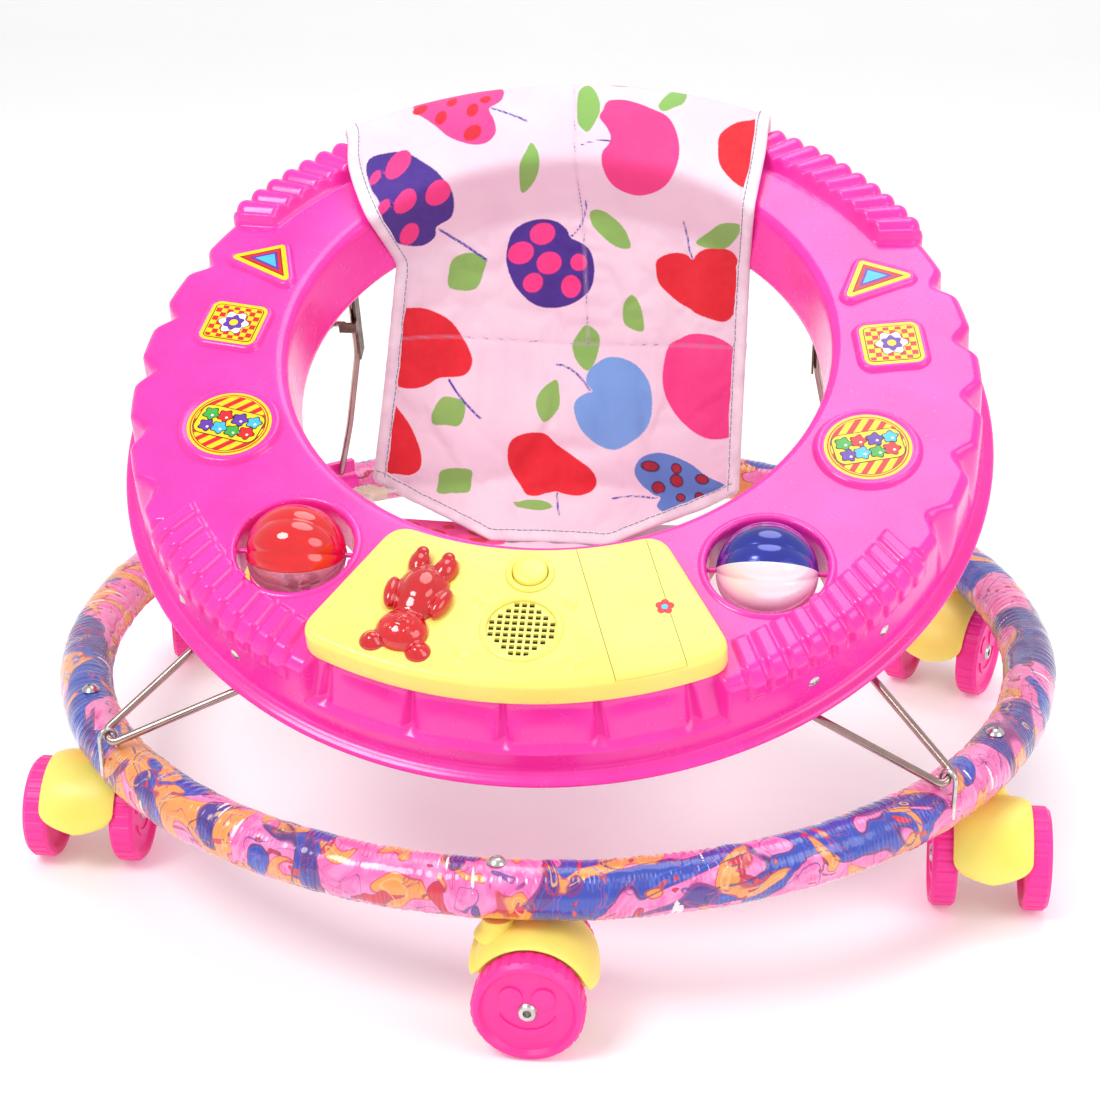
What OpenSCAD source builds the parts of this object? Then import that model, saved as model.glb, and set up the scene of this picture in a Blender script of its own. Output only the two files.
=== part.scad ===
// Round baby walker: a tilted play tray with a hanging fabric seat, carried by wire struts
// and legs on a padded base ring with six twin-wheel casters.
// Millimetres, +Z up. Origin on the floor under the centre of the base ring.
// The front, with the music panel, faces -Y. Angles round the ring and the tray are
// measured from the front, positive towards +X.

/* [Base ring] */
// Centreline radius of the base ring
ring_r = 310; // [305:1:325]
// Height of the ring's centreline above the floor
ring_z = 88; // [87:1:92]
// Outer diameter of the steel ring tube
tube_d = 19; // [16:1:22]
// Thickness of the foam sleeve round the tube
foam_t = 6.7; // [5:0.1:6.7]

/* [Tray] */
// Height of the middle of the tray's rim plane
tray_z = 236; // [232:1:240]
// Tilt of the tray, rear edge up
tray_tilt = 25.5; // [24:0.5:26]
// Radius of the flange round the bottom of the tray
flange_r = 276; // [274:1:280]
// Radius of the tray's outer wall
wall_r = 267; // [264:1:268]
// Height of the deck above the rim plane
deck_h = 50; // [48:1:52]
// Wall thickness of the tray moulding
wall_t = 2.5; // [2:0.1:3]
// Radius of the seat hole
hole_r = 172; // [168:1:174]
// Distance of the seat hole's centre behind the tray's centre
hole_y = 35; // [32:1:37]

/* [Music panel] */
// Height of the music panel above the deck
panel_h = 18; // [16:0.5:20]
// Half the angle that the panel covers
panel_half = 29; // [27:0.5:30]
// Button travel
button_travel = 3; // [2:0.5:3]
// Diameter of the push button
button_d = 20; // [18:1:22]

/* [Rattle balls] */
// Outer diameter of each rattle ball
ball_d = 60; // [56:1:62]
// Diameter of each opening round a ball
ball_hole_d = 70; // [68:1:72]

/* [Casters] */
// Wheel diameter
wheel_d = 63; // [62:0.5:63]
// Width of one wheel
wheel_w = 15; // [13:0.5:16]
// Distance between the middles of the two wheels
wheel_gap = 55; // [54:1:57]
// Distance of the axle behind the swivel axis
caster_trail = 20; // [18:1:22]

/* [Wire] */
// Diameter of the strut and leg wire
wire_d = 5; // [4.5:0.1:5]

/* [Seat] */
// Width of the seat's backrest where it hangs
seat_w = 250; // [240:2:256]
// Thickness of the padded seat cloth
cloth_t = 2.4; // [2:0.1:2.6]

/* [Hidden] */
$fn = 64;

pink = "#FF4FC0";
yellow = "#FFF08A";
steel = "#B9B5B2";
wire_r = wire_d / 2;

// --- frames -----------------------------------------------------------------------------
function on_circle(r, a) = [r * sin(a), -r * cos(a)];
function at_polar(r, a, h) = [r * sin(a), -r * cos(a), h];
// A point of the tray's own frame in the frame of the whole walker
function tray_pt(p) = [
    p[0],
    p[1] * cos(tray_tilt) - p[2] * sin(tray_tilt),
    tray_z + p[1] * sin(tray_tilt) + p[2] * cos(tray_tilt)
];

module in_tray() {
    translate([0, 0, tray_z])
        rotate([tray_tilt, 0, 0])
            children();
}

module both_sides() {
    children();
    mirror([1, 0, 0])
        children();
}

// Turns +Z to point along the vector v
module along(v) {
    rotate([0, acos(v[2] / norm(v)), atan2(v[1], v[0])])
        children();
}

// How far the round knuckle at a wire's bend stands out past the bend's inner corner
knuckle = 0.15;

// Round wire through a list of points, with a round knuckle at each bend
module wire(points, r) {
    for (i = [0 : len(points) - 2]) {
        translate(points[i])
            along(points[i + 1] - points[i])
                cylinder(r = r, h = norm(points[i + 1] - points[i]), $fn = 32);
    }
    for (i = [1 : len(points) - 2])
        let (
            before = points[i] - points[i - 1],
            after = points[i + 1] - points[i],
            half_bend = acos(before * after / (norm(before) * norm(after))) / 2
        )
            translate(points[i])
                along(before)
                    sphere(r = r / cos(half_bend) + knuckle, $fn = 32);
}

// --- base ring --------------------------------------------------------------------------
tube_r = tube_d / 2;
foam_r = tube_r + foam_t;
film_r = foam_r + 0.8;
ring_top = ring_z + film_r;
tube_wall = 1.5;
seam_gap = 0.4;
seam_a = 160;
joiner_half = 3;
caster_angles = [0, 64, 119, 180, -119, -64];
bolt_r = 3;
strut_a = 50.3;
strut_r = 321;
saddle_a = 140;
saddle_half = 2.6;

module ring_section(r_out, r_in) {
    difference() {
        translate([ring_r, 0])
            circle(r = r_out);
        translate([ring_r, 0])
            circle(r = r_in);
    }
}

// The ring's drillings: caster bolts and eyelet feet
module ring_drillings() {
    for (a = caster_angles)
        translate(at_polar(ring_r, a, 0))
            cylinder(r = bolt_r, h = 300);
    both_sides()
        eyelet_at_strut()
            eyelet_feet();
}

module ring_sweep(r_out, r_in) {
    translate([0, 0, ring_z])
        rotate([0, 0, seam_a - 90 + seam_gap / 2])
            rotate_extrude(angle = 360 - seam_gap, $fn = 180)
                ring_section(r_out, r_in);
}

module ring_part(r_out, r_in) {
    difference() {
        ring_sweep(r_out, r_in);
        ring_drillings();
    }
}

module ring_tube() {
    color(steel)
        ring_part(tube_r, tube_r - tube_wall);
}

// Plug that bridges the seam inside the tube
module ring_joiner() {
    color("#8C8C8C")
        translate([0, 0, ring_z])
            rotate([0, 0, seam_a - 90 - joiner_half])
                rotate_extrude(angle = 2 * joiner_half, $fn = 180)
                    translate([ring_r, 0])
                        circle(r = tube_r - tube_wall - 0.05);
}

module ring_padding() {
    color("#F6F0F2")
        ring_part(foam_r, tube_r);
}

// The printed film is wound on last, and the bolts and eyelets are driven through it
module ring_film() {
    color("#E86BB0")
        ring_sweep(film_r, foam_r);
}

module caster_bolt() {
    head_r = 5.5;
    translate([0, 0, hood_top - 5])
        cylinder(r = bolt_r, h = ring_top - hood_top + 5.4);
    translate([0, 0, hood_top - 8])
        cylinder(r = 5.6, h = 3);
    translate([0, 0, ring_top + 0.2])
        difference() {
            intersection() {
                translate([0, 0, -3.2])
                    sphere(r = 6.4);
                cylinder(r = head_r, h = 6);
            }
            translate([0, 0, 2.2])
                cylinder(r = 2, h = 3, $fn = 6);
        }
}

module caster_bolts() {
    color(steel)
        for (a = caster_angles)
            translate(at_polar(ring_r, a, 0))
                caster_bolt();
}

// Wire eyelets: an arch of thin wire that stands on the ring
eyelet_r = 5.2;
eyelet_wire = 1.4;
apex = at_polar(strut_r, strut_a, ring_top + 5.6);
strut_tangent = [0.56, 0.69, 0.47];

module eyelet_feet() {
    for (side = [-1, 1])
        translate([side * eyelet_r, 0, -24])
            cylinder(r = eyelet_wire, h = 24, $fn = 24);
}

module eyelet() {
    rotate([90, 0, 0])
        rotate_extrude(angle = 180)
            translate([eyelet_r, 0])
                circle(r = eyelet_wire, $fn = 24);
    eyelet_feet();
}

module eyelet_at_strut() {
    translate(apex)
        rotate([0, 0, atan2(strut_tangent[1], strut_tangent[0]) - 90])
            children();
}

module wire_eyelets() {
    color(steel)
        both_sides()
            eyelet_at_strut()
                eyelet();
}

// Moulded saddles that the feet of the rear legs stand on, each with a lug beside the foot
saddle_t = 1.6;
module leg_saddles() {
    color(pink)
        both_sides()
            translate([0, 0, ring_z])
                rotate([0, 0, saddle_a - 90 - saddle_half])
                    rotate_extrude(angle = 2 * saddle_half, $fn = 180)
                        difference() {
                            union() {
                                translate([ring_r, 0])
                                    circle(r = film_r + saddle_t);
                                translate([ring_r - 10, 0])
                                    square([5, 25]);
                            }
                            translate([ring_r, 0])
                                circle(r = film_r);
                            translate([ring_r - 40, -40])
                                square([80, 42]);
                        }
}

// --- casters ----------------------------------------------------------------------------
wheel_r = wheel_d / 2;
axle_z = wheel_r;
axle_r = 3;
hood_r = wheel_r + 4.5;
hood_top = ring_z - film_r - 0.5;
hood_half = wheel_gap / 2 - wheel_w / 2 - 1;
trails = [90, 0, -21, -90, 14, 0];

// Places a caster: its swivel axis on the ring, its axle trailing along its own +X
module caster_at(i) {
    translate(at_polar(ring_r, caster_angles[i], 0))
        rotate([0, 0, -90 + trails[i]])
            children();
}

module on_axle() {
    translate([caster_trail, 0, axle_z])
        rotate([90, 0, 0])
            children();
}

// Fender shell over both wheels, open below, with a side wall beside each wheel
module fender() {
    lip = 4;
    on_axle()
        rotate([0, 0, 2])
            rotate_extrude(angle = 152, $fn = 96)
                polygon([
                    [8, -hood_half], [wheel_r + 1.4, -hood_half], [wheel_r + 1.4, -hood_half - lip],
                    [wheel_r + 2.6, -hood_half - lip], [hood_r, -hood_half], [hood_r + 1, 0],
                    [hood_r, hood_half], [wheel_r + 2.6, hood_half + lip],
                    [wheel_r + 1.4, hood_half + lip], [wheel_r + 1.4, hood_half], [8, hood_half],
                    [8, hood_half - 2], [wheel_r + 1.4, hood_half - 2], [wheel_r + 1.4, 2 - hood_half],
                    [8, 2 - hood_half]
                ]);
}

module hood(i) {
    color(yellow)
        caster_at(i)
            difference() {
                union() {
                    fender();
                    on_axle()
                        for (side = [-1, 1])
                            translate([0, 0, side * (hood_half - 2.6) - 3])
                                cylinder(r = 9, h = 6);
                    translate([0, 0, hood_top - 14])
                        cylinder(r = 9, h = 14);
                }
                translate([0, 0, hood_top - 9])
                    cylinder(r = 6.2, h = 4.1);
                translate([0, 0, hood_top - 40])
                    cylinder(r = bolt_r + 0.08, h = 60);
                on_axle()
                    cylinder(r = axle_r + 0.06, h = 100, center = true);
            }
}

// Wheel with a fluted tread, a recessed face, two round eyes and a smile
module wheel() {
    face_r = wheel_r - 6.5;
    difference() {
        union() {
            rotate_extrude()
                polygon([
                    [0, -wheel_w / 2 + 3], [wheel_r - 7, -wheel_w / 2 + 3],
                    [wheel_r - 5, -wheel_w / 2], [wheel_r - 1.5, -wheel_w / 2],
                    [wheel_r, -wheel_w / 2 + 2], [wheel_r, wheel_w / 2 - 2.5],
                    [wheel_r - 2, wheel_w / 2], [wheel_r - 4.5, wheel_w / 2],
                    [face_r, wheel_w / 2 - 2.4], [0, wheel_w / 2 - 1.4]
                ]);
            for (side = [-1, 1])
                translate([side * 9, 9.5, wheel_w / 2 - 2.6])
                    cylinder(r = 6.2, h = 1.9);
            translate([0, 0, wheel_w / 2 - 2.6])
                linear_extrude(1.7)
                    difference() {
                        circle(r = 15.5);
                        translate([0, 6.5])
                            circle(r = 17.5);
                    }
        }
        for (i = [0 : 29])
            rotate([0, 0, i * 12])
                translate([wheel_r + 1.6, 0, 1.2])
                    cylinder(r = 2.2, h = wheel_w, center = true, $fn = 24);
        cylinder(r = axle_r, h = 60, center = true);
    }
}

module wheels(i) {
    color(pink)
        caster_at(i)
            on_axle() {
                translate([0, 0, wheel_gap / 2])
                    wheel();
                mirror([0, 0, 1])
                    translate([0, 0, wheel_gap / 2])
                        wheel();
            }
}

// Hollow rivet that both wheels are pressed on
module axle(i) {
    half = wheel_gap / 2 + wheel_w / 2 - 1.4;
    color(steel)
        caster_at(i)
            on_axle()
                difference() {
                    union() {
                        cylinder(r = axle_r, h = 2 * half, center = true);
                        for (side = [0, 1])
                            mirror([0, 0, side])
                                translate([0, 0, half])
                                    cylinder(r1 = 5.6, r2 = 4.6, h = 1.4);
                    }
                    for (side = [0, 1])
                        mirror([0, 0, side])
                            translate([0, 0, half - 4])
                                cylinder(r = 2.4, h = 8);
                }
}

module front_hood() { hood(0); }
module front_wheels() { wheels(0); }
module front_axle() { axle(0); }
module front_right_hood() { hood(1); }
module front_right_wheels() { wheels(1); }
module front_right_axle() { axle(1); }
module rear_right_hood() { hood(2); }
module rear_right_wheels() { wheels(2); }
module rear_right_axle() { axle(2); }
module rear_hood() { hood(3); }
module rear_wheels() { wheels(3); }
module rear_axle() { axle(3); }
module rear_left_hood() { hood(4); }
module rear_left_wheels() { wheels(4); }
module rear_left_axle() { axle(4); }
module front_left_hood() { hood(5); }
module front_left_wheels() { wheels(5); }
module front_left_axle() { axle(5); }

// --- tray -------------------------------------------------------------------------------
corner_r = 7;
// height of the deck's underside
under_h = deck_h - wall_t - 1;
ball_x = 139;
ball_y = -148;
ball_h = 44;
ball_r = ball_d / 2;
rivet_h = 20;
rivet_angles = [39, 51];
rib_pitch = 3;
front_ribs = [for (i = [0 : 9]) 31 + i * rib_pitch];
rear_ribs = [for (i = [0 : 8]) 123 + i * rib_pitch];
notches = [66, 77, 88, 99, 110];
scallops = [for (i = [-3 : 4]) (i - 0.5) * 6.2];
round_pad = [196, -54];
square_pad = [210, 35];
triangle_pad = [197, 97];

module tray_section(inset) {
    square([wall_r - inset, deck_h - inset - corner_r]);
    square([wall_r - inset - corner_r, deck_h - inset]);
    translate([wall_r - inset - corner_r, deck_h - inset - corner_r])
        circle(r = corner_r);
}

// Half-round rib lying across the rim of the deck
module rib(a, r0, r1, r) {
    rotate([0, 0, a])
        translate([0, -r1 + r, deck_h - 1.5])
            rotate([-90, 0, 0])
                cylinder(r = r, h = r1 - r0 - r, $fn = 32);
    rotate([0, 0, a])
        translate([0, -r1 + r, deck_h - 1.5])
            sphere(r = r, $fn = 32);
}

// Right triangle with round corners, as on the two rear pads
module round_triangle(size, r) {
    hull() {
        translate([-size, -size * 0.5])
            circle(r = r, $fn = 32);
        translate([size, -size * 0.5])
            circle(r = r, $fn = 32);
        translate([0, size * 0.6])
            circle(r = r, $fn = 32);
    }
}

module round_square(w, h, r) {
    hull()
        for (x = [-1, 1], y = [-1, 1])
            translate([x * (w / 2 - r), y * (h / 2 - r)])
                circle(r = r, $fn = 32);
}

// Wedge notches in the rim at both sides; extra makes them larger for the inside
module notch_wedges(extra) {
    both_sides()
        for (a = notches)
            translate(at_polar(wall_r + 2.7, a, deck_h - 12 - extra))
                rotate([0, 0, a])
                    cylinder(r1 = 2 + extra, r2 = 12 + extra, h = 13 + extra, $fn = 4);
}

// Scalloped hollows round the front wall
module scallop_cuts(extra) {
    for (a = scallops)
        rotate([0, 0, a])
            translate([0, -wall_r - 26.5, 10 - extra])
                cylinder(r = 30 + extra, h = deck_h - 18 + extra);
}

module tray_shell() {
    color(pink)
        in_tray()
            difference() {
                union() {
                    difference() {
                        union() {
                            rotate_extrude($fn = 180)
                                tray_section(0);
                            cylinder(r = flange_r, h = 2.6, $fn = 180);
                        }
                        notch_wedges(0);
                        scallop_cuts(0);
                    }
                    both_sides() {
                        for (a = front_ribs)
                            rib(a, 236, wall_r, 4);
                        for (a = rear_ribs)
                            rib(a, 238, wall_r + 3, 5.4);
                        translate([round_pad[0], round_pad[1], 0])
                            cylinder(r = 31, h = deck_h + 3);
                        translate([square_pad[0], square_pad[1], deck_h - 1])
                            linear_extrude(4)
                                rotate(9)
                                    round_square(44, 42, 9);
                        translate([triangle_pad[0], triangle_pad[1], deck_h - 1])
                            linear_extrude(4)
                                rotate(28)
                                    round_triangle(20, 6);
                    }
                }
                // hollow underneath
                difference() {
                    translate([0, 0, -1])
                        rotate_extrude($fn = 180)
                            tray_section(wall_t);
                    translate([0, hole_y, -2])
                        cylinder(r = hole_r + wall_t, h = 100, $fn = 180);
                    both_sides()
                        translate([ball_x, ball_y, ball_h])
                            rotate([0, 90, 0])
                                cylinder(r = 4.5, h = ball_hole_d + 12, center = true);
                    notch_wedges(wall_t);
                    scallop_cuts(wall_t);
                }
                // seat hole, with a rounded upper edge
                translate([0, hole_y, -2])
                    cylinder(r = hole_r, h = 100, $fn = 180);
                translate([0, hole_y, -2])
                    cylinder(r = hole_r + 20, h = 5.5, $fn = 180);
                translate([0, hole_y, deck_h - 5])
                    rotate_extrude($fn = 180)
                        difference() {
                            translate([hole_r - 2, 0])
                                square([7, 10]);
                            translate([hole_r + 5, 0])
                                circle(r = 5);
                        }
                // ball openings, with their axle bores
                both_sides() {
                    translate([ball_x, ball_y, 0])
                        difference() {
                            cylinder(r = ball_hole_d / 2, h = 100);
                            for (side = [-1, 1])
                                translate([side * (ball_r + 6.5), 0, ball_h])
                                    rotate([0, 90, 0])
                                        cylinder(r = 4.5, h = 10, center = true);
                        }
                    translate([ball_x, ball_y, ball_h])
                        rotate([0, 90, 0])
                            cylinder(r = 1.5, h = ball_hole_d + 6, center = true);
                    for (a = rivet_angles)
                        translate(at_polar(wall_r - 8, a, rivet_h))
                            along(at_polar(1, a, 0))
                                cylinder(r = 2.4, h = 20, $fn = 32);
                }
            }
}

// Domed rivets that hold the strut clips to the outer wall
module tray_rivets() {
    color(steel)
        in_tray()
            both_sides()
                for (a = rivet_angles)
                    translate(at_polar(wall_r - wall_t - 2.6, a, rivet_h))
                        along(at_polar(1, a, 0)) {
                            cylinder(r = 2.4, h = wall_t + 2.6, $fn = 32);
                            translate([0, 0, -1.2])
                                cylinder(r = 4, h = 1.2);
                            translate([0, 0, wall_t + 2.6])
                                intersection() {
                                    cylinder(r = 5, h = 3);
                                    translate([0, 0, -5.6])
                                        sphere(r = 7.4);
                                }
                        }
}

// --- struts, legs and stays -------------------------------------------------------------
// Where each strut leg passes under the flange and where its clip holds it
strut_pass = [for (a = [37.5, 49]) at_polar(256, a, -8)];
strut_end = [for (a = rivet_angles) at_polar(wall_r - wall_t - 1 - wire_r - 3.4, a, rivet_h + 6)];
// The rear leg's hinge, knee plate and foot, on the left side
hinge_a = tray_pt([143, 178, 25]);
foot = at_polar(ring_r - 13.5, saddle_a, ring_z + 19.1);
stay_pivot = tray_pt([178, 40, 15]);
latch_x = 163;
leg_vec = [0, foot[1] - hinge_a[1], foot[2] - hinge_a[2]];
leg_len = norm(leg_vec);
// A point on the leg's own line, s from the hinge to the foot, moved out to x
function leg_pt(s, x) = [x, hinge_a[1] + leg_vec[1] * s, hinge_a[2] + leg_vec[2] * s];
plate_top = 0.30;
plate_end = 0.52;
hook_s = 0.385;

module wire_clip(a) {
    // strap bent over the strut's end, riveted to the wall
    translate(at_polar(wall_r - wall_t - 0.1, a, rivet_h))
        rotate([0, 0, a])
            difference() {
                translate([-5, 0, -7])
                    cube([10, 1.4, 22]);
                rotate([90, 0, 0])
                    cylinder(r = 2.4, h = 20, center = true, $fn = 32);
            }
}

module hinge_ear(p) {
    // ear that hangs from the underside of the deck and carries a wire's crank
    difference() {
        translate([p[0] - 1.2, p[1] - 6, p[2] - 5])
            cube([2.4, 12, under_h - p[2] + 5]);
        translate([p[0] - 5, p[1], p[2]])
            rotate([0, 90, 0])
                cylinder(r = wire_r + 0.08, h = 10);
    }
}

module wire_clips() {
    color(steel)
        in_tray()
            both_sides() {
                for (a = rivet_angles)
                    wire_clip(a);
                hinge_ear([149.5, 178, 25]);
                hinge_ear([185, 40, 15]);
            }
}

module front_strut() {
    t = strut_tangent / norm(strut_tangent);
    wire([
        tray_pt(strut_end[1]),
        tray_pt(strut_pass[1]),
        apex + t * 5,
        apex - t * 5,
        tray_pt(strut_pass[0]),
        tray_pt(strut_end[0])
    ], wire_r);
}

module right_front_strut() {
    color(steel)
        front_strut();
}

module left_front_strut() {
    color(steel)
        mirror([1, 0, 0])
            front_strut();
}

module rear_leg() {
    crank = hinge_a + [12, 0, 0];
    wire([
        crank,
        hinge_a,
        leg_pt(plate_top - 0.02, latch_x + 1.0 + wire_r),
        leg_pt(plate_end, latch_x + 1.0 + wire_r),
        leg_pt(0.80, 179),
        foot
    ], wire_r);
    translate(foot)
        along(foot - leg_pt(0.80, 179))
            sphere(r = wire_r + knuckle, $fn = 32);
}

module latch_plate() {
    // sheet plate beside the leg, with a hook for the stay
    angle = atan2(leg_vec[2], leg_vec[1]);
    translate([0, hinge_a[1], hinge_a[2]])
        rotate([angle, 0, 0]) {
            translate([latch_x - 0.5, plate_top * leg_len, -7])
                cube([1.5, (plate_end - plate_top) * leg_len, 14]);
            translate([latch_x + 1, hook_s * leg_len + 3.2, -12])
                cube([11, 1.5, 9]);
            translate([latch_x + 1, hook_s * leg_len - 3.5, -12])
                cube([11, 8.2, 1.5]);
            translate([latch_x - 0.5, hook_s * leg_len - 3.5, -12])
                cube([1.5, 8.2, 6]);
        }
}

module stay() {
    hook = leg_pt(hook_s, 0);
    angle = atan2(leg_vec[2], leg_vec[1]);
    // centre of the hook's pocket
    seat = hook + [0, -7.6 * -sin(angle), -7.6 * cos(angle)];
    wire([
        [stay_pivot[0] + 12, stay_pivot[1], stay_pivot[2]],
        stay_pivot,
        [latch_x + 17, seat[1], seat[2]],
        [latch_x + 9.4, seat[1], seat[2]]
    ], wire_r - 0.4);
}

module right_rear_leg() {
    color(steel)
        rear_leg();
}

module left_rear_leg() {
    color(steel)
        mirror([1, 0, 0])
            rear_leg();
}

module right_latch_plate() {
    color("#8E7A70")
        latch_plate();
}

module left_latch_plate() {
    color("#8E7A70")
        mirror([1, 0, 0])
            latch_plate();
}

module right_stay() {
    color(steel)
        stay();
}

module left_stay() {
    color(steel)
        mirror([1, 0, 0])
            stay();
}

// --- stickers ---------------------------------------------------------------------------
module stickers() {
    color("#FFE53C")
        in_tray()
            both_sides() {
                translate([round_pad[0], round_pad[1], deck_h + 3])
                    cylinder(r = 26, h = 0.4);
                translate([square_pad[0], square_pad[1], deck_h + 3])
                    linear_extrude(0.4)
                        rotate(9)
                            round_square(36, 34, 7);
                translate([triangle_pad[0], triangle_pad[1], deck_h + 3])
                    linear_extrude(0.4)
                        rotate(28)
                            round_triangle(15, 2);
            }
}

// --- music panel ------------------------------------------------------------------------
panel_top = deck_h + panel_h;
base_t = 1.2;
base_top = deck_h + 0.2 + base_t;
board_t = 1.6;
speaker_h = base_top + board_t + 0.1;
panel_in = 191;
panel_out = 256;
cover_a = 18;
cover_w = 41;
skin = 2.2;
button_pos = [5, -176];
speaker_pos = [4, -216];
lens_pos = [-57, -199];

module panel_outline(inset) {
    offset(r = -inset)
        offset(r = 14, $fn = 64)
            offset(delta = -14)
                difference() {
                    intersection() {
                        circle(r = panel_out, $fn = 180);
                        polygon([
                            [0, 0],
                            on_circle(500, -panel_half),
                            [0, -600],
                            on_circle(500, panel_half)
                        ]);
                    }
                    translate([0, hole_y])
                        circle(r = panel_in, $fn = 180);
                }
}

module cover_strip(w) {
    rotate(cover_a)
        translate([-w / 2, -300])
            square([w, 200]);
}

module music_panel() {
    color(yellow)
        in_tray()
            difference() {
                union() {
                    difference() {
                        translate([0, 0, deck_h + 0.2])
                            linear_extrude(panel_h - 0.2)
                                panel_outline(0);
                        translate([0, 0, deck_h])
                            linear_extrude(panel_h - skin)
                                panel_outline(skin);
                        // the cover's slot, open at the front
                        translate([0, 0, panel_top - skin - 0.3])
                            linear_extrude(10)
                                cover_strip(cover_w + 0.6);
                    }
                    // collars of the button and the speaker
                    translate([button_pos[0], button_pos[1], panel_top - skin])
                        cylinder(r = button_d / 2 + 3.5, h = skin + 1.2);
                    translate([speaker_pos[0], speaker_pos[1], panel_top - skin])
                        cylinder(r = 23, h = skin + 1.2);
                }
                translate([button_pos[0], button_pos[1], deck_h])
                    cylinder(r = button_d / 2 + 0.1, h = 50);
                translate([speaker_pos[0], speaker_pos[1], panel_top])
                    cylinder(r = 20, h = 10);
                for (ix = [-3 : 3], iy = [-3 : 3])
                    if (norm([ix, iy]) < 3.3)
                        translate([speaker_pos[0] + ix * 5 - 1.5, speaker_pos[1] + iy * 5 - 1.5, deck_h])
                            cube([3, 3, 50]);
            }
}

module panel_base() {
    color("#F2E27A")
        in_tray()
            translate([0, 0, base_top - base_t])
                linear_extrude(base_t)
                    panel_outline(skin + 0.2);
}

module panel_screws() {
    color(steel)
        in_tray()
            for (a = [-22, -8, 8, 24])
                translate(at_polar(236, a, under_h - 2))
                    cylinder(r = 3.4, h = 2);
}

module play_button() {
    color(yellow)
        in_tray()
            translate([button_pos[0], button_pos[1], 0]) {
                translate([0, 0, panel_top - 8])
                    cylinder(r = button_d / 2, h = 11);
                translate([0, 0, panel_top + 3])
                    cylinder(r1 = button_d / 2, r2 = button_d / 2 - 2, h = 1.6);
            }
}

module button_dome() {
    color("#5A5A60")
        in_tray()
            translate([button_pos[0], button_pos[1], base_top + board_t])
                cylinder(r1 = 5, r2 = 3, h = panel_top - 8 - button_travel - 0.4 - base_top - board_t);
}

module speaker() {
    color("#3B3B40")
        in_tray()
            translate([speaker_pos[0], speaker_pos[1], speaker_h]) {
                cylinder(r = 9, h = 5);
                translate([0, 0, 5])
                    cylinder(r1 = 9, r2 = 19.5, h = 4);
                translate([0, 0, 9])
                    cylinder(r = 19.5, h = panel_top - skin - 0.3 - speaker_h - 9);
            }
}

module circuit_board() {
    color("#2E7D3A")
        in_tray() {
            translate([-32, -236, base_top])
                cube([60, 72, board_t]);
            translate([-26, -200, base_top + board_t])
                cube([9, 6, 2.4]);
            translate([-22, -184, base_top + board_t])
                cylinder(r = 2.5, h = 6);
        }
}

module batteries() {
    color("#3F6FB5")
        in_tray()
            rotate([0, 0, cover_a])
                for (x = [-8, 8])
                    translate([x, -180, base_top + 7.2])
                        rotate([90, 0, 0]) {
                            cylinder(r = 7, h = 49);
                            translate([0, 0, 49])
                                cylinder(r = 2.6, h = 1.4);
                        }
}

module battery_cover() {
    color(yellow)
        in_tray()
            translate([0, 0, panel_top - skin])
                linear_extrude(skin)
                    intersection() {
                        panel_outline(0);
                        cover_strip(cover_w);
                    }
}

// A plain little bear in clear red plastic, lying on the panel with its head outward
module animal_lens() {
    color("#E3122A", 0.75)
        in_tray()
            intersection() {
                translate([lens_pos[0], lens_pos[1], panel_top])
                    rotate([0, 0, -14]) {
                        translate([0, 2, -8])
                            sphere(r = 20);
                        translate([0, -24, -6])
                            sphere(r = 16);
                        for (x = [-1, 1]) {
                            translate([x * 14, -34, -3])
                                sphere(r = 7.6);
                            translate([x * 17, -3, -3])
                                sphere(r = 8);
                            translate([x * 8, 24, -3])
                                sphere(r = 8.4);
                        }
                    }
                translate([-150, -300, panel_top])
                    cube([150, 200, 40]);
            }
}

// --- rattle balls -----------------------------------------------------------------------
// side is 1 on the right and -1 on the left
module at_ball(side) {
    in_tray()
        translate([side * ball_x, ball_y, ball_h])
            children();
}

// Half shell; up is 1 for the upper half and -1 for the lower
module ball_half(up) {
    gap = 0.15;
    difference() {
        sphere(r = ball_r);
        sphere(r = ball_r - 1.8);
        translate([0, 0, -up * 50 + up * gap])
            cube(100, center = true);
        rotate([0, 90, 0])
            cylinder(r = 1.56, h = 100, center = true);
    }
}

module ball_beads() {
    for (i = [0 : 5])
        rotate([0, 0, i * 60])
            translate([7.6, 0, -23.2])
                sphere(r = 3.4, $fn = 24);
}

module ball_axle() {
    rotate([0, 90, 0])
        cylinder(r = 1.5, h = ball_hole_d + 4, center = true);
}

module left_ball_top() {
    color("#D8142C", 0.8)
        at_ball(-1)
            ball_half(1);
}

module left_ball_bottom() {
    color("#FFD9E6", 0.5)
        at_ball(-1)
            ball_half(-1);
}

module left_ball_beads() {
    color("#FFFFFF")
        at_ball(-1)
            ball_beads();
}

module left_ball_axle() {
    color(steel)
        at_ball(-1)
            ball_axle();
}

module right_ball_top() {
    color("#22309A")
        at_ball(1)
            ball_half(1);
}

module right_ball_bottom() {
    color("#F6F1F4")
        at_ball(1)
            ball_half(-1);
}

module right_ball_beads() {
    color("#FFFFFF")
        at_ball(1)
            ball_beads();
}

module right_ball_axle() {
    color(steel)
        at_ball(1)
            ball_axle();
}

// --- seat -------------------------------------------------------------------------------
// The cloth is a grid of points over two parameters, thickened along its normals.
function mix(a, b, t) = a + (b - a) * t;
function clamp01(t) = max(0, min(1, t));
function smooth(t) = clamp01(t) * clamp01(t) * (3 - 2 * clamp01(t));

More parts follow.
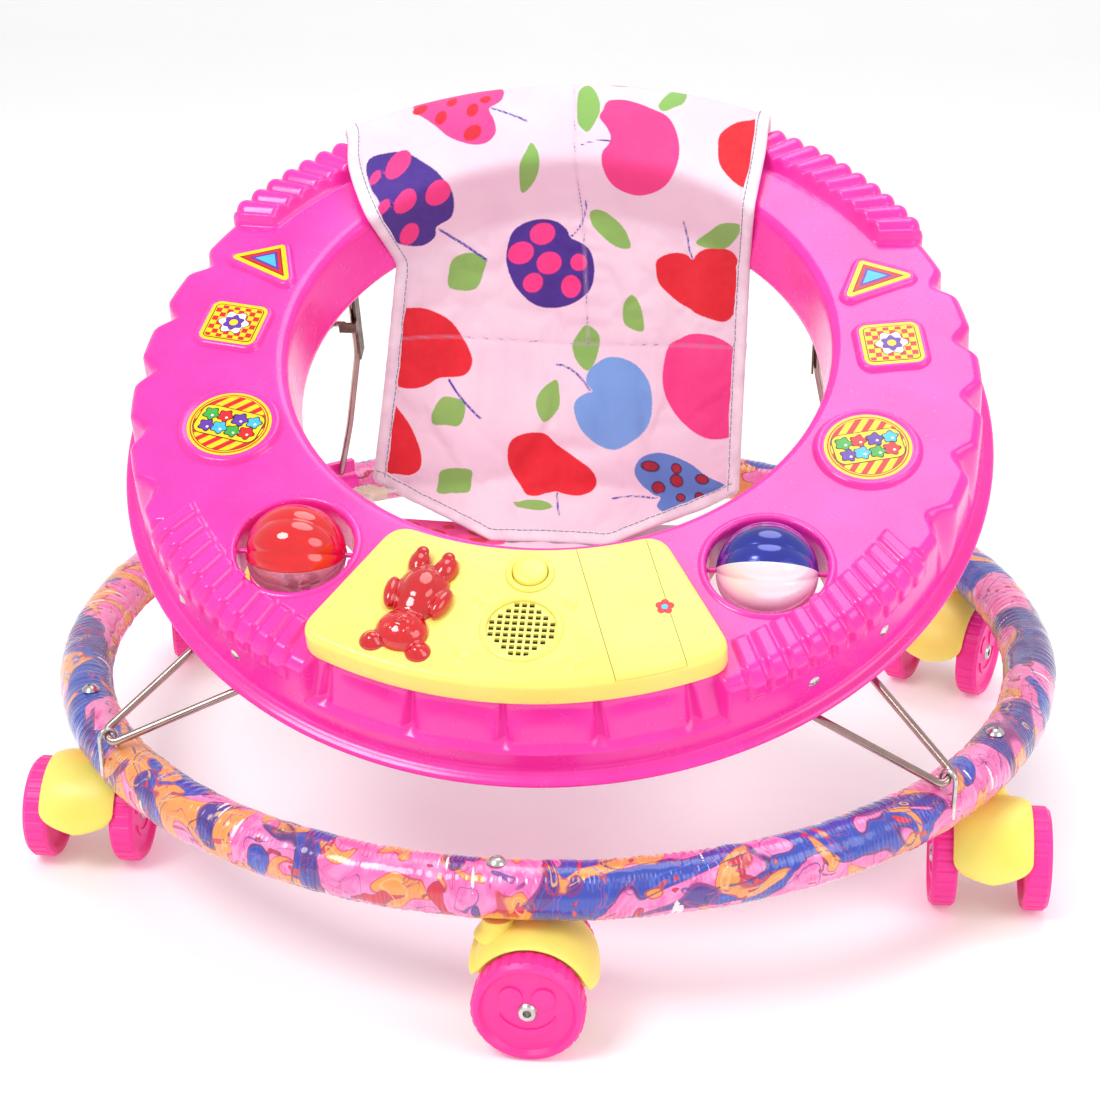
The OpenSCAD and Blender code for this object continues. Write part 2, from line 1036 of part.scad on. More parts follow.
module cloth(f, u0, u1, nu, v0, v1, nv, t) {
    e = 0.002;
    normal = function(u, v) let (n = cross(f(u + e, v) - f(u - e, v), f(u, v + e) - f(u, v - e))) n / norm(n);
    us = [for (i = [0 : nu]) mix(u0, u1, i / nu)];
    vs = [for (j = [0 : nv]) mix(v0, v1, j / nv)];
    top = [for (v = vs, u = us) f(u, v) + normal(u, v) * t / 2];
    low = [for (v = vs, u = us) f(u, v) - normal(u, v) * t / 2];
    w = nu + 1;
    n = w * (nv + 1);
    quads = [for (j = [0 : nv - 1], i = [0 : nu - 1]) [j * w + i, j * w + i + 1, (j + 1) * w + i + 1, (j + 1) * w + i]];
    rim = concat(
        [for (i = [0 : nu]) i],
        [for (j = [1 : nv]) j * w + nu],
        [for (i = [nu - 1 : -1 : 0]) nv * w + i],
        [for (j = [nv - 1 : -1 : 1]) j * w]
    );
    faces = concat(
        [for (q = quads) [q[0], q[1], q[2]]],
        [for (q = quads) [q[0], q[2], q[3]]],
        [for (q = quads) [n + q[2], n + q[1], n + q[0]]],
        [for (q = quads) [n + q[3], n + q[2], n + q[0]]],
        [for (k = [0 : len(rim) - 1]) let (a = rim[k], b = rim[(k + 1) % len(rim)]) [a, n + a, n + b]],
        [for (k = [0 : len(rim) - 1]) let (a = rim[k], b = rim[(k + 1) % len(rim)]) [a, n + b, b]]
    );
    polyhedron(points = concat(top, low), faces = [for (f = faces) [f[2], f[1], f[0]]]);
}

// Backrest: v runs from the tail behind the rim, over the rim and the deck, down the inner
// wall of the hole, and then hangs to the seat's bottom edge. u runs across from -1 to 1.
lift = 1.2 + 0.9;
rim_half = 150;
inner_r = hole_r - lift;
function rim_point(x, r, h) = tray_pt([x, sqrt(max(0, r * r - x * x)), h]);
function inner_point(x, h) = tray_pt([x, hole_y + sqrt(max(0, inner_r * inner_r - x * x)), h]);
hang_z = 152;
function hang_point(u) = [u * (seat_w / 2 + 4), 122 - 14 * u * u, hang_z - 4 * u * u];
back_pt = function(u, v)
    let (
        wide = u * rim_half,
        narrow = u * seat_w / 2,
        s = v * 8
    )
    s < 1 ? mix(rim_point(wide, flange_r + lift + 1, -6), rim_point(wide, flange_r + lift + 1, 5), s)
    : s < 2 ? mix(rim_point(wide, flange_r + lift + 1, 5), rim_point(wide, wall_r + 6.6, deck_h + 2), s - 1)
    : s < 3 ? mix(rim_point(wide, wall_r + 6.6, deck_h + 2), rim_point(wide, wall_r - 6, deck_h + lift + 5.4), s - 2)
    : s < 4 ? mix(rim_point(wide, wall_r - 6, deck_h + lift + 5.4), inner_point(narrow, deck_h + lift), s - 3)
    : s < 5 ? mix(inner_point(narrow, deck_h + lift), inner_point(narrow * 0.99, 2), s - 4)
    : mix(inner_point(narrow * 0.99, 2), hang_point(u), (s - 5) / 3);

// Seat bottom and crotch: from the backrest's lower edge forward and up to the front wall
front_pt = function(u, v)
    let (
        waist = mix(seat_w / 2 - 6, 48, smooth(v * 2.2)) + 40 * smooth((v - 0.55) / 0.45),
        x = u * waist,
        back_y = 119 - 14 * pow(x / (seat_w / 2), 2),
        front_y = hole_y - sqrt(pow(hole_r - lift - 2, 2) - x * x),
        y = mix(back_y, tray_pt([x, front_y, 14])[1], v),
        z = mix(hang_z - 3, tray_pt([x, front_y, 14])[2], smooth((v - 0.3) / 0.7)) - 26 * sin(180 * v)
    )
    [x, y, z];

module seat_back() {
    color("#F7DDE8")
        cloth(back_pt, -0.96, 0.96, 12, 0, 1, 24, cloth_t);
}

module seat_front() {
    color("#F7DDE8")
        cloth(front_pt, -0.92, 0.92, 10, 0.03, 0.97, 14, cloth_t);
}

module seat_binding() {
    color("#F5EFF2")
        for (side = [-1, 1]) {
            cloth(back_pt, side * 0.98 - 0.018, side * 0.98 + 0.018, 1, 0, 1, 24, cloth_t + 0.6);
            cloth(front_pt, side * 0.965 - 0.035, side * 0.965 + 0.035, 1, 0.06, 0.97, 14, cloth_t + 0.6);
        }
}

// Flat tape between two points
module tape(p, q, w, t) {
    translate(p)
        along(q - p)
            translate([-t / 2, -w / 2, 0])
                cube([t, w, norm(q - p)]);
}

// The side strap joins the backrest's lower corner to the seat front, through a ribbed buckle
buckle_at = [-141, 88, 150];
buckle_dir = [-0.46, -0.86, 0.2];

module seat_strap() {
    color("#EFE9E4") {
        tape([-129, 110.6, 144.4], buckle_at - 8 * buckle_dir, 13, 1.4);
        tape(buckle_at + 8 * buckle_dir, [-120, 45, 146], 13, 1.4);
    }
}

module strap_buckle() {
    color("#F3EFD8")
        translate(buckle_at)
            along(buckle_dir) {
                cube([5, 17, 22], center = true);
                for (z = [-7, -2.3, 2.3, 7])
                    translate([0, 0, z])
                        cube([7, 17, 2], center = true);
            }
}

ring_tube();
ring_joiner();
ring_padding();
ring_film();
caster_bolts();
wire_eyelets();
leg_saddles();
front_hood();
front_wheels();
front_axle();
front_right_hood();
front_right_wheels();
front_right_axle();
rear_right_hood();
rear_right_wheels();
rear_right_axle();
rear_hood();
rear_wheels();
rear_axle();
rear_left_hood();
rear_left_wheels();
rear_left_axle();
front_left_hood();
front_left_wheels();
front_left_axle();
tray_shell();
tray_rivets();
wire_clips();
left_front_strut();
right_front_strut();
stickers();
music_panel();
panel_base();
panel_screws();
play_button();
button_dome();
speaker();
circuit_board();
batteries();
battery_cover();
animal_lens();
left_ball_top();
left_ball_bottom();
left_ball_beads();
left_ball_axle();
right_ball_top();
right_ball_bottom();
right_ball_beads();
right_ball_axle();
left_rear_leg();
left_latch_plate();
left_stay();
right_rear_leg();
right_latch_plate();
right_stay();
seat_back();
seat_front();
seat_binding();
seat_strap();
strap_buckle();
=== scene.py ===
"""Looks for the round baby walker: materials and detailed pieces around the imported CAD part."""
import contextlib
import math

import bmesh
import bpy
import numpy as np
from mathutils import Matrix, Vector


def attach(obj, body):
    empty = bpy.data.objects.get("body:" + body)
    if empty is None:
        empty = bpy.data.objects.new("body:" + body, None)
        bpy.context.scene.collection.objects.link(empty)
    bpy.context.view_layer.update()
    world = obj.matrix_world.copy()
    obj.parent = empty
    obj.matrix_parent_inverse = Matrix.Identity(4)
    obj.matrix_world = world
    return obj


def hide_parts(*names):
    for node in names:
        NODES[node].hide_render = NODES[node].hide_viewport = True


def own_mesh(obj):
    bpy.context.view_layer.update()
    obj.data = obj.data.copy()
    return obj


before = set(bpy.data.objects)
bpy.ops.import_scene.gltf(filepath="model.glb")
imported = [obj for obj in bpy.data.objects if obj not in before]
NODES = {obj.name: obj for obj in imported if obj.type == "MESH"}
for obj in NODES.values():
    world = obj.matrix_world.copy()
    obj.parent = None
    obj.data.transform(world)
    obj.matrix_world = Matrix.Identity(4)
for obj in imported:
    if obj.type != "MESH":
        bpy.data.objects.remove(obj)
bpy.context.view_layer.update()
RNG = np.random.default_rng(7)
scene = bpy.context.scene
scene.view_settings.view_transform = "Standard"

# Sizes in millimetres and degrees, the same values as in the part's source
TILT, TRAY_Z = 25.5, 236.0
RING_R, RING_Z, FILM_R = 310.0, 88.0, 17.0
DECK_H, HOLE_Y = 50.0, 35.0
BALL_X, BALL_Y, BALL_H, BALL_R = 139.0, -148.0, 44.0, 30.0
WIRE_R = 2.5
PANEL_TOP = 68.0
CASTERS = ["front", "front_right", "rear_right", "rear", "rear_left", "front_left"]
CASTER_ANGLES = [0, 64, 119, 180, -119, -64]
TRAILS = [90, 0, -21, -90, 14, 0]
WHEEL_R, CASTER_TRAIL = 31.5, 20.0
# Blender works in metres
MM = 0.001

# --- camera -----------------------------------------------------------------------------
cam_data = bpy.data.cameras.new("camera")
cam_data.lens, cam_data.sensor_width = 74.6, 36.0
camera = bpy.data.objects.new("camera", cam_data)
scene.collection.objects.link(camera)
forward = Vector((-0.10164, 0.90634, -0.41015)).normalized()
up = -Vector((0.0405, -0.40817, -0.91201))
up = (up - forward * up.dot(forward)).normalized()
right = forward.cross(up)
camera.matrix_world = Matrix((
    (right.x, up.x, -forward.x, 0.1477),
    (right.y, up.y, -forward.y, -1.3597),
    (right.z, up.z, -forward.z, 0.7670),
    (0, 0, 0, 1)))
scene.camera = camera

# --- stage and light --------------------------------------------------------------------
world = bpy.data.worlds.new("world")
scene.world = world
world.use_nodes = True
world.node_tree.nodes["Background"].inputs["Color"].default_value = (1, 1, 1, 1)
world.node_tree.nodes["Background"].inputs["Strength"].default_value = 0.68


def area_light(name, place, aim, size, power, color=(1, 1, 1)):
    """Round area light aimed at a point."""
    data = bpy.data.lights.new(name, "AREA")
    data.shape, data.size, data.energy, data.color = "DISK", size, power, color
    o = bpy.data.objects.new(name, data)
    scene.collection.objects.link(o)
    o.location = place
    o.rotation_euler = (Vector(aim) - Vector(place)).to_track_quat("-Z", "Y").to_euler()


area_light("key", (-0.9, -1.1, 1.9), (0, 0, 0.15), 0.9, 21)
area_light("fill", (1.5, -0.9, 1.2), (0, 0, 0.2), 1.2, 9)
area_light("top", (0.2, 0.5, 1.9), (0, 0, 0.2), 1.2, 10)


# --- geometry helpers -------------------------------------------------------------------
def tray(p):
    """Points of the tray's frame, in millimetres, in the frame of the walker."""
    p = np.asarray(p, float).reshape(-1, 3)
    c, s = math.cos(math.radians(TILT)), math.sin(math.radians(TILT))
    return np.column_stack([p[:, 0], p[:, 1] * c - p[:, 2] * s, TRAY_Z + p[:, 1] * s + p[:, 2] * c])


def polar(r, a, h):
    """Point at radius r and angle a, where 0 degrees is the front and 90 the right side."""
    return np.array([r * math.sin(math.radians(a)), -r * math.cos(math.radians(a)), h])


def spin_z(degrees):
    """Matrix of a turn about Z."""
    c, s = math.cos(math.radians(degrees)), math.sin(math.radians(degrees))
    return np.array([[c, -s, 0], [s, c, 0], [0, 0, 1]])


def caps(rows, cols):
    """Faces that close both ends of a grid of rows of points wrapped along its columns."""
    return [tuple(range(cols))[::-1], tuple(range((rows - 1) * cols, rows * cols))]


def tube(p):
    """Closed part from an array of rows of points, each row a closed section."""
    rows, cols = p.shape[:2]
    return p.reshape(-1, 3), [tuple(q) for q in grid(rows, cols, wrap_cols=True)] + caps(rows, cols)


def unit(v):
    """Vectors scaled to length 1."""
    return v / np.linalg.norm(v, axis=-1)[..., None]


def full_turn(n):
    """Angles of n even steps round a circle."""
    return np.linspace(0, 2 * math.pi, n, endpoint=False)


def smooth(t):
    """Smoothstep of t, 0 up to 0 and 1 from 1 on."""
    t = np.clip(t, 0, 1)
    return t * t * (3 - 2 * t)


def grid(rows, cols, wrap_rows=False, wrap_cols=False):
    """Quads of a grid of rows x cols points, stored row by row."""
    i = np.arange(rows if wrap_rows else rows - 1)[:, None]
    j = np.arange(cols if wrap_cols else cols - 1)[None, :]
    i2, j2 = (i + 1) % rows, (j + 1) % cols
    q = np.stack([i * cols + j, i * cols + j2, i2 * cols + j2, i2 * cols + j], -1)
    return q.reshape(-1, 4)


def piece(name, parts, material, body, replaces=(), slot=None, flat=False):
    """One mesh object from (points in millimetres, faces) pairs, riding on a body."""
    verts, faces, base = [], [], 0
    for p, f in parts:
        p = np.asarray(p, float).reshape(-1, 3)
        verts.append(p)
        faces += [tuple(int(k) + base for k in q) for q in f]
        base += len(p)
    mesh = bpy.data.meshes.new(name)
    mesh.from_pydata((np.vstack(verts) * MM).tolist(), [], faces)
    mesh.update()
    o = bpy.data.objects.new(name, mesh)
    scene.collection.objects.link(o)
    if material is not None:
        mesh.materials.append(material)
    mesh.polygons.foreach_set("use_smooth", [not flat] * len(mesh.polygons))
    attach(o, body)
    if replaces:
        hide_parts(*replaces)
    return o


@contextlib.contextmanager
def edited(mesh):
    """A bmesh of a mesh, written back to it at the end."""
    bm = bmesh.new()
    bm.from_mesh(mesh)
    yield bm
    bm.to_mesh(mesh)
    bm.free()


def face_out(mesh):
    """Turns every face of a closed mesh outwards."""
    with edited(mesh) as bm:
        bmesh.ops.recalc_face_normals(bm, faces=bm.faces)


def modifier(o, kind, **settings):
    """Adds a modifier with the given settings."""
    m = o.modifiers.new(kind.lower(), kind)
    for key, value in settings.items():
        setattr(m, key, value)
    return m


def bake_modifiers(o):
    """Applies every modifier, so that the mesh is final."""
    bpy.context.view_layer.update()
    done = o.evaluated_get(bpy.context.evaluated_depsgraph_get())
    mesh = bpy.data.meshes.new_from_object(done)
    o.modifiers.clear()
    o.data = mesh


def sharpen(o, angle=35):
    """Smooth shading, with edges sharper than angle left sharp."""
    mesh = o.data
    mesh.polygons.foreach_set("use_smooth", [True] * len(mesh.polygons))
    mesh.set_sharp_from_angle(angle=math.radians(angle))


def lathe(profile, segments=64, closed=False):
    """Points and faces of a profile of (radius, height) turned round Z."""
    prof = np.asarray(profile, float)
    a = full_turn(segments)
    p = np.stack([np.outer(np.cos(a), prof[:, 0]), np.outer(np.sin(a), prof[:, 0]),
                  np.tile(prof[:, 1], (segments, 1))], -1)
    return p.reshape(-1, 3), grid(segments, len(prof), wrap_rows=True, wrap_cols=closed)


def move(part, offset=(0, 0, 0), matrix=None):
    """A part turned by a matrix, then shifted."""
    p, f = part
    p = np.asarray(p, float)
    if matrix is not None:
        p = p @ np.asarray(matrix, float).T
    return p + np.asarray(offset, float), f


def in_tray(part):
    """A part of the tray's frame in the frame of the walker."""
    return tray(part[0]), part[1]


def round_path(points, radius, steps=8):
    """A path through the points with each corner rounded."""
    pts = [np.asarray(p, float) for p in points]
    out = [pts[0]]
    for a, b, c in zip(pts, pts[1:], pts[2:]):
        la, lc = np.linalg.norm(a - b), np.linalg.norm(c - b)
        d = min(radius, la * 0.48, lc * 0.48)
        p, q = b + (a - b) / la * d, b + (c - b) / lc * d
        for k in np.linspace(0, 1, steps):
            out.append((1 - k) ** 2 * p + 2 * k * (1 - k) * b + k * k * q)
    out.append(pts[-1])
    return np.array(out)


def sweep(path, radius, sides=16, cap=True, squash=1.0):
    """A tube along a path, with domed ends."""
    path = np.asarray(path, float)
    keep = np.r_[True, np.linalg.norm(np.diff(path, axis=0), axis=1) > 1e-6]
    path = path[keep]
    t = np.gradient(path, axis=0)
    t /= np.linalg.norm(t, axis=1)[:, None]
    radii = np.full(len(path), float(radius))
    if cap:
        dome = [0.05, 0.5, 0.86]
        head = [path[0] - t[0] * radius * math.sqrt(1 - e * e) for e in dome]
        tail = [path[-1] + t[-1] * radius * math.sqrt(1 - e * e) for e in dome[::-1]]
        path = np.vstack([head, path, tail])
        t = np.vstack([[t[0]] * 3, t, [t[-1]] * 3])
        radii = np.r_[[radius * e for e in dome], radii, [radius * e for e in dome[::-1]]]
    n = np.cross(t[0], [0.3, 0.2, 0.93])
    rows = []
    a = full_turn(sides)
    for k in range(len(path)):
        n = n - t[k] * n.dot(t[k])
        n /= np.linalg.norm(n)
        b = np.cross(t[k], n)
        rows.append(path[k] + radii[k] * (np.outer(np.cos(a), n) + squash * np.outer(np.sin(a), b)))
    return tube(np.stack(rows))


def rounded(poly, radius, steps=8):
    """Outline of a convex polygon grown by radius; a negative radius shrinks it instead."""
    poly = np.asarray(poly, float)
    if radius <= 0.05:
        n = len(poly)
        shrunk = []
        for k in range(n):
            a, b, c = poly[k - 1], poly[k], poly[(k + 1) % n]
            u, v = (a - b) / np.linalg.norm(a - b), (c - b) / np.linalg.norm(c - b)
            bis = (u + v) / np.linalg.norm(u + v)
            half = math.acos(np.clip(u.dot(v), -1, 1)) / 2
            shrunk.append(b + bis * (0.05 - radius) / math.sin(half))
        poly, radius = np.array(shrunk), 0.05
    out, n = [], len(poly)
    for k in range(n):
        a, b, c = poly[k - 1], poly[k], poly[(k + 1) % n]
        a0 = math.atan2(*(b - a)[::-1]) - math.pi / 2
        a1 = math.atan2(*(c - b)[::-1]) - math.pi / 2
        while a1 < a0:
            a1 += 2 * math.pi
        for s in np.linspace(a0, a1, steps):
            out.append(b + radius * np.array([math.cos(s), math.sin(s)]))
    return np.array(out)


def stacked(outline, levels):
    """A solid from outline(inset) at each (inset, height) level, closed by a fan of the last."""
    rings = [np.column_stack([outline(i), np.full(len(outline(i)), h)]) for i, h in levels]
    n = len(rings[0])
    p = np.vstack(rings)
    faces = [tuple(q) for q in grid(len(rings), n, wrap_cols=True)]
    faces.append(tuple(range((len(rings) - 1) * n, len(rings) * n)))
    return p, faces


# --- materials --------------------------------------------------------------------------
def rgb(code):
    """Linear colour of a hexadecimal sRGB code."""
    v = [int(code[k:k + 2], 16) / 255 for k in (1, 3, 5)]
    return tuple(c / 12.92 if c <= 0.04045 else ((c + 0.055) / 1.055) ** 2.4 for c in v) + (1,)


class Look:
    """A node material being built."""

    def __init__(self, name):
        self.mat = bpy.data.materials.new(name)
        self.mat.use_nodes = True
        self.tree = self.mat.node_tree
        self.shader = self.tree.nodes["Principled BSDF"]
        self.coords = self.add("ShaderNodeTexCoord").outputs["Object"]

    def add(self, kind, ins=None, **props):
        """New node with its properties and inputs set."""
        n = self.tree.nodes.new(kind)
        for key, value in props.items():
            setattr(n, key, value)
        for key, value in (ins or {}).items():
            self.put(n.inputs[key], value)
        return n

    def put(self, socket, value):
        """Links a socket to another, or sets its value."""
        if isinstance(value, bpy.types.NodeSocket):
            self.tree.links.new(value, socket)
        else:
            socket.default_value = value

    def set(self, **values):
        """Sets inputs of the shader."""
        for key, value in values.items():
            self.put(self.shader.inputs[key.replace("_", " ")], value)
        return self

    def math(self, operation, a, b=0.0, clamp=False):
        n = self.add("ShaderNodeMath", operation=operation, use_clamp=clamp)
        self.put(n.inputs[0], a)
        self.put(n.inputs[1], b)
        return n.outputs[0]

    def noise(self, scale, detail=2.0, vector=None, rough=0.5, distortion=0.0):
        """Noise over the object's own coordinates."""
        return self.add("ShaderNodeTexNoise", {
            "Vector": self.coords if vector is None else vector, "Scale": scale, "Detail": detail,
            "Roughness": rough, "Distortion": distortion}).outputs["Fac"]

    def span(self, value, a, b, c, d):
        """Value from the range a..b mapped to c..d."""
        return self.add("ShaderNodeMapRange", {
            "Value": value, "From Min": a, "From Max": b, "To Min": c, "To Max": d}).outputs["Result"]

    def mix(self, fac, a, b, blend="MIX"):
        """Colour a turning into b as fac goes from 0 to 1."""
        n = self.add("ShaderNodeMix", data_type="RGBA", blend_type=blend, clamp_factor=True)
        self.put(n.inputs[0], fac)
        self.put(n.inputs[6], a)
        self.put(n.inputs[7], b)
        return n.outputs[2]

    def bump(self, height, strength, distance, normal=None):
        """Normal bent by a height in steps of a distance."""
        n = self.add("ShaderNodeBump", {"Height": height, "Strength": strength, "Distance": distance})
        if normal is not None:
            self.put(n.inputs["Normal"], normal)
        return n.outputs["Normal"]

    def attribute(self, name):
        return self.add("ShaderNodeAttribute", attribute_name=name)

    def axis(self, k, vector=None):
        """One coordinate of a vector."""
        n = self.add("ShaderNodeSeparateXYZ", {0: self.coords if vector is None else vector})
        return n.outputs[k]


def solid_look(name, light, dark, rough=(0.25, 0.4), metal=0.0, cloud=28.0, grain=700.0,
               grain_depth=0.00003, sag=0.0002, scratch=0.0, **sockets):
    """Plastic, rubber or metal: clouded colour, uneven gloss, fine grain and slight waves."""
    k = Look(name)
    clouds = k.noise(cloud, 3.0)
    fine = k.noise(grain, 2.0)
    k.set(Base_Color=k.mix(k.span(clouds, 0.3, 0.7, 0, 1), rgb(dark), rgb(light)),
          Roughness=k.span(k.noise(cloud * 2.3, 4.0, rough=0.65), 0.3, 0.7, *rough), Metallic=metal)
    waves = k.bump(clouds, 0.35, sag)
    normal = k.bump(fine, 0.3, grain_depth, waves)
    if scratch:
        stretched = k.add("ShaderNodeMapping", {"Vector": k.coords, "Scale": (900, 60, 900)})
        normal = k.bump(k.noise(1.0, 2.0, stretched.outputs[0]), 0.3, scratch, normal)
    k.set(Normal=normal)
    for key, value in sockets.items():
        k.set(**{key: value})
    return k.mat


PINK = solid_look("tray pink", "#FF36B4", "#FB2AA6", rough=(0.2, 0.3), sag=0.00015,
                  Subsurface_Weight=0.12, Subsurface_Radius=(1.0, 0.35, 0.6), Subsurface_Scale=0.004,
                  Coat_Weight=0.35, Coat_Roughness=0.12)
WHEEL_PINK = solid_look("wheel pink", "#FF35A0", "#F82896", rough=(0.34, 0.48),
                        Subsurface_Weight=0.1, Subsurface_Radius=(1.0, 0.3, 0.5), Subsurface_Scale=0.003)
YELLOW = solid_look("panel yellow", "#FFF07E", "#FFEB70", rough=(0.26, 0.36),
                    Subsurface_Weight=0.2, Subsurface_Radius=(1.0, 0.75, 0.25), Subsurface_Scale=0.005,
                    Coat_Weight=0.2, Coat_Roughness=0.2)
HOOD_YELLOW = solid_look("hood yellow", "#FFEE78", "#FFE766", rough=(0.32, 0.45),
                         Subsurface_Weight=0.2, Subsurface_Radius=(1.0, 0.7, 0.2), Subsurface_Scale=0.005)
NICKEL = solid_look("nickel wire", "#C0A6A0", "#AE948E", rough=(0.14, 0.24), metal=1.0, cloud=90,
                    grain=2200, grain_depth=0.00001, sag=0.00005, scratch=0.00001)
STEEL = solid_look("bright steel", "#DAD9D6", "#B9B6B2", rough=(0.16, 0.34), metal=1.0, cloud=160,
                   grain=2500, scratch=0.00002)
LATCH = solid_look("latch steel", "#8E776A", "#5D4B44", rough=(0.35, 0.6), metal=0.9, cloud=140, grain=1600)
TUBE = solid_look("tube steel", "#B9B9BC", "#98979B", rough=(0.28, 0.5), metal=1.0, cloud=120, grain=1500)
FOAM = solid_look("foam sleeve", "#F4E9EC", "#E9D8DE", rough=(0.85, 0.95), cloud=300, grain=1800,
                  grain_depth=0.0002)
RUBBER = solid_look("dark rubber", "#3C3C42", "#2C2C30", rough=(0.55, 0.75))
BLACK = solid_look("black plastic", "#1E1E21", "#121214", rough=(0.35, 0.5))
BOARD = solid_look("circuit board", "#1E7A3E", "#155F30", rough=(0.3, 0.45), cloud=240)
BATTERY = solid_look("battery jacket", "#2F63B4", "#264E92", rough=(0.22, 0.32), cloud=120)
BEADS = solid_look("beads", "#F2F2F0", "#DEDEDC", rough=(0.2, 0.35))
IVORY = solid_look("ivory plastic", "#F4EFD8", "#E7E0C2", rough=(0.3, 0.42))
RED_CLEAR = solid_look("clear red", "#FF1020", "#F00818", rough=(0.05, 0.12), Transmission_Weight=0.3,
                       IOR=1.49, Coat_Weight=1.0, Coat_Roughness=0.03)
LENS_RED = solid_look("lens red", "#F00A1C", "#DA0012", rough=(0.06, 0.14), Transmission_Weight=0.35,
                      IOR=1.49, Coat_Weight=1.0, Coat_Roughness=0.03)
PINK_CLEAR = solid_look("clear pink", "#FFD3DE", "#FFC6D4", rough=(0.05, 0.12), Transmission_Weight=0.75,
                        IOR=1.49, Coat_Weight=0.8, Coat_Roughness=0.04)
BLUE = solid_look("pearl blue", "#1B2DA8", "#16208A", rough=(0.12, 0.2), metal=0.35, grain=1500,
                  Coat_Weight=1.0, Coat_Roughness=0.04)
PEARL = solid_look("pearl white", "#F7EEF3", "#EFE0EA", rough=(0.14, 0.22), metal=0.15, grain=1500,
                   Coat_Weight=1.0, Coat_Roughness=0.05)
PRINT_YELLOW = solid_look("sticker yellow", "#FFD81E", "#FFCF10", rough=(0.16, 0.24), cloud=90)
PRINT_RED = solid_look("sticker red", "#E8202A", "#DD1822", rough=(0.16, 0.24), cloud=90)
PRINT_BLACK = solid_look("sticker black", "#1A1418", "#120C10", rough=(0.16, 0.24), cloud=90)
PRINT_PURPLE = solid_look("sticker purple", "#6A3BB0", "#5B309C", rough=(0.16, 0.24), cloud=90)
PRINT_BLUE = solid_look("sticker blue", "#4FC3EC", "#3FB4E0", rough=(0.16, 0.24), cloud=90)
PRINT_GREEN = solid_look("sticker green", "#43B04A", "#38A040", rough=(0.16, 0.24), cloud=90)
PRINT_WHITE = solid_look("sticker white", "#FFF8EE", "#F8EEE0", rough=(0.16, 0.24), cloud=90)

# --- floor ------------------------------------------------------------------------------
floor_look = Look("floor")
floor_look.set(
    Base_Color=floor_look.mix(floor_look.noise(6, 4.0), (0.93, 0.93, 0.935, 1), (0.96, 0.96, 0.96, 1)),
    Roughness=floor_look.span(floor_look.noise(30, 3.0), 0.3, 0.7, 0.55, 0.7),
    Emission_Color=(1, 1, 1, 1), Emission_Strength=0.16)
s = np.linspace(-6, 6, 49)
gx, gy = np.meshgrid(s, s)
gz = 0.55 * np.clip(gy - 2.2, 0, None) ** 1.6
floor_mesh = bpy.data.meshes.new("floor")
floor_mesh.from_pydata(np.stack([gx, gy, gz], -1).reshape(-1, 3).tolist(), [],
                       grid(49, 49).tolist())
floor_mesh.polygons.foreach_set("use_smooth", [True] * len(floor_mesh.polygons))
floor_mesh.materials.append(floor_look.mat)
floor = bpy.data.objects.new("floor", floor_mesh)
scene.collection.objects.link(floor)


# --- tray shell -------------------------------------------------------------------------
def band(x, a, b, soft):
    """1 between a and b, falling to 0 over soft outside."""
    return smooth((x - a) / soft + 1) * smooth((b - x) / soft + 1)


TRAY_THICK, WELL_R = 2.2, 37.2
# the front scallops, side notches and ribs, in degrees round the tray; their depth and height in mm
SCALLOP_PITCH, SCALLOP_FROM = 11.9, -0.9
NOTCHES, NOTCH_HALF, NOTCH_DEPTH = (66, 77.5, 89, 100, 111.5), 3.3, 9.5
RIB_PITCH, RIB_FROM, REAR_FROM, RIB_HEIGHT = 3.0, 31, 123, 2.6


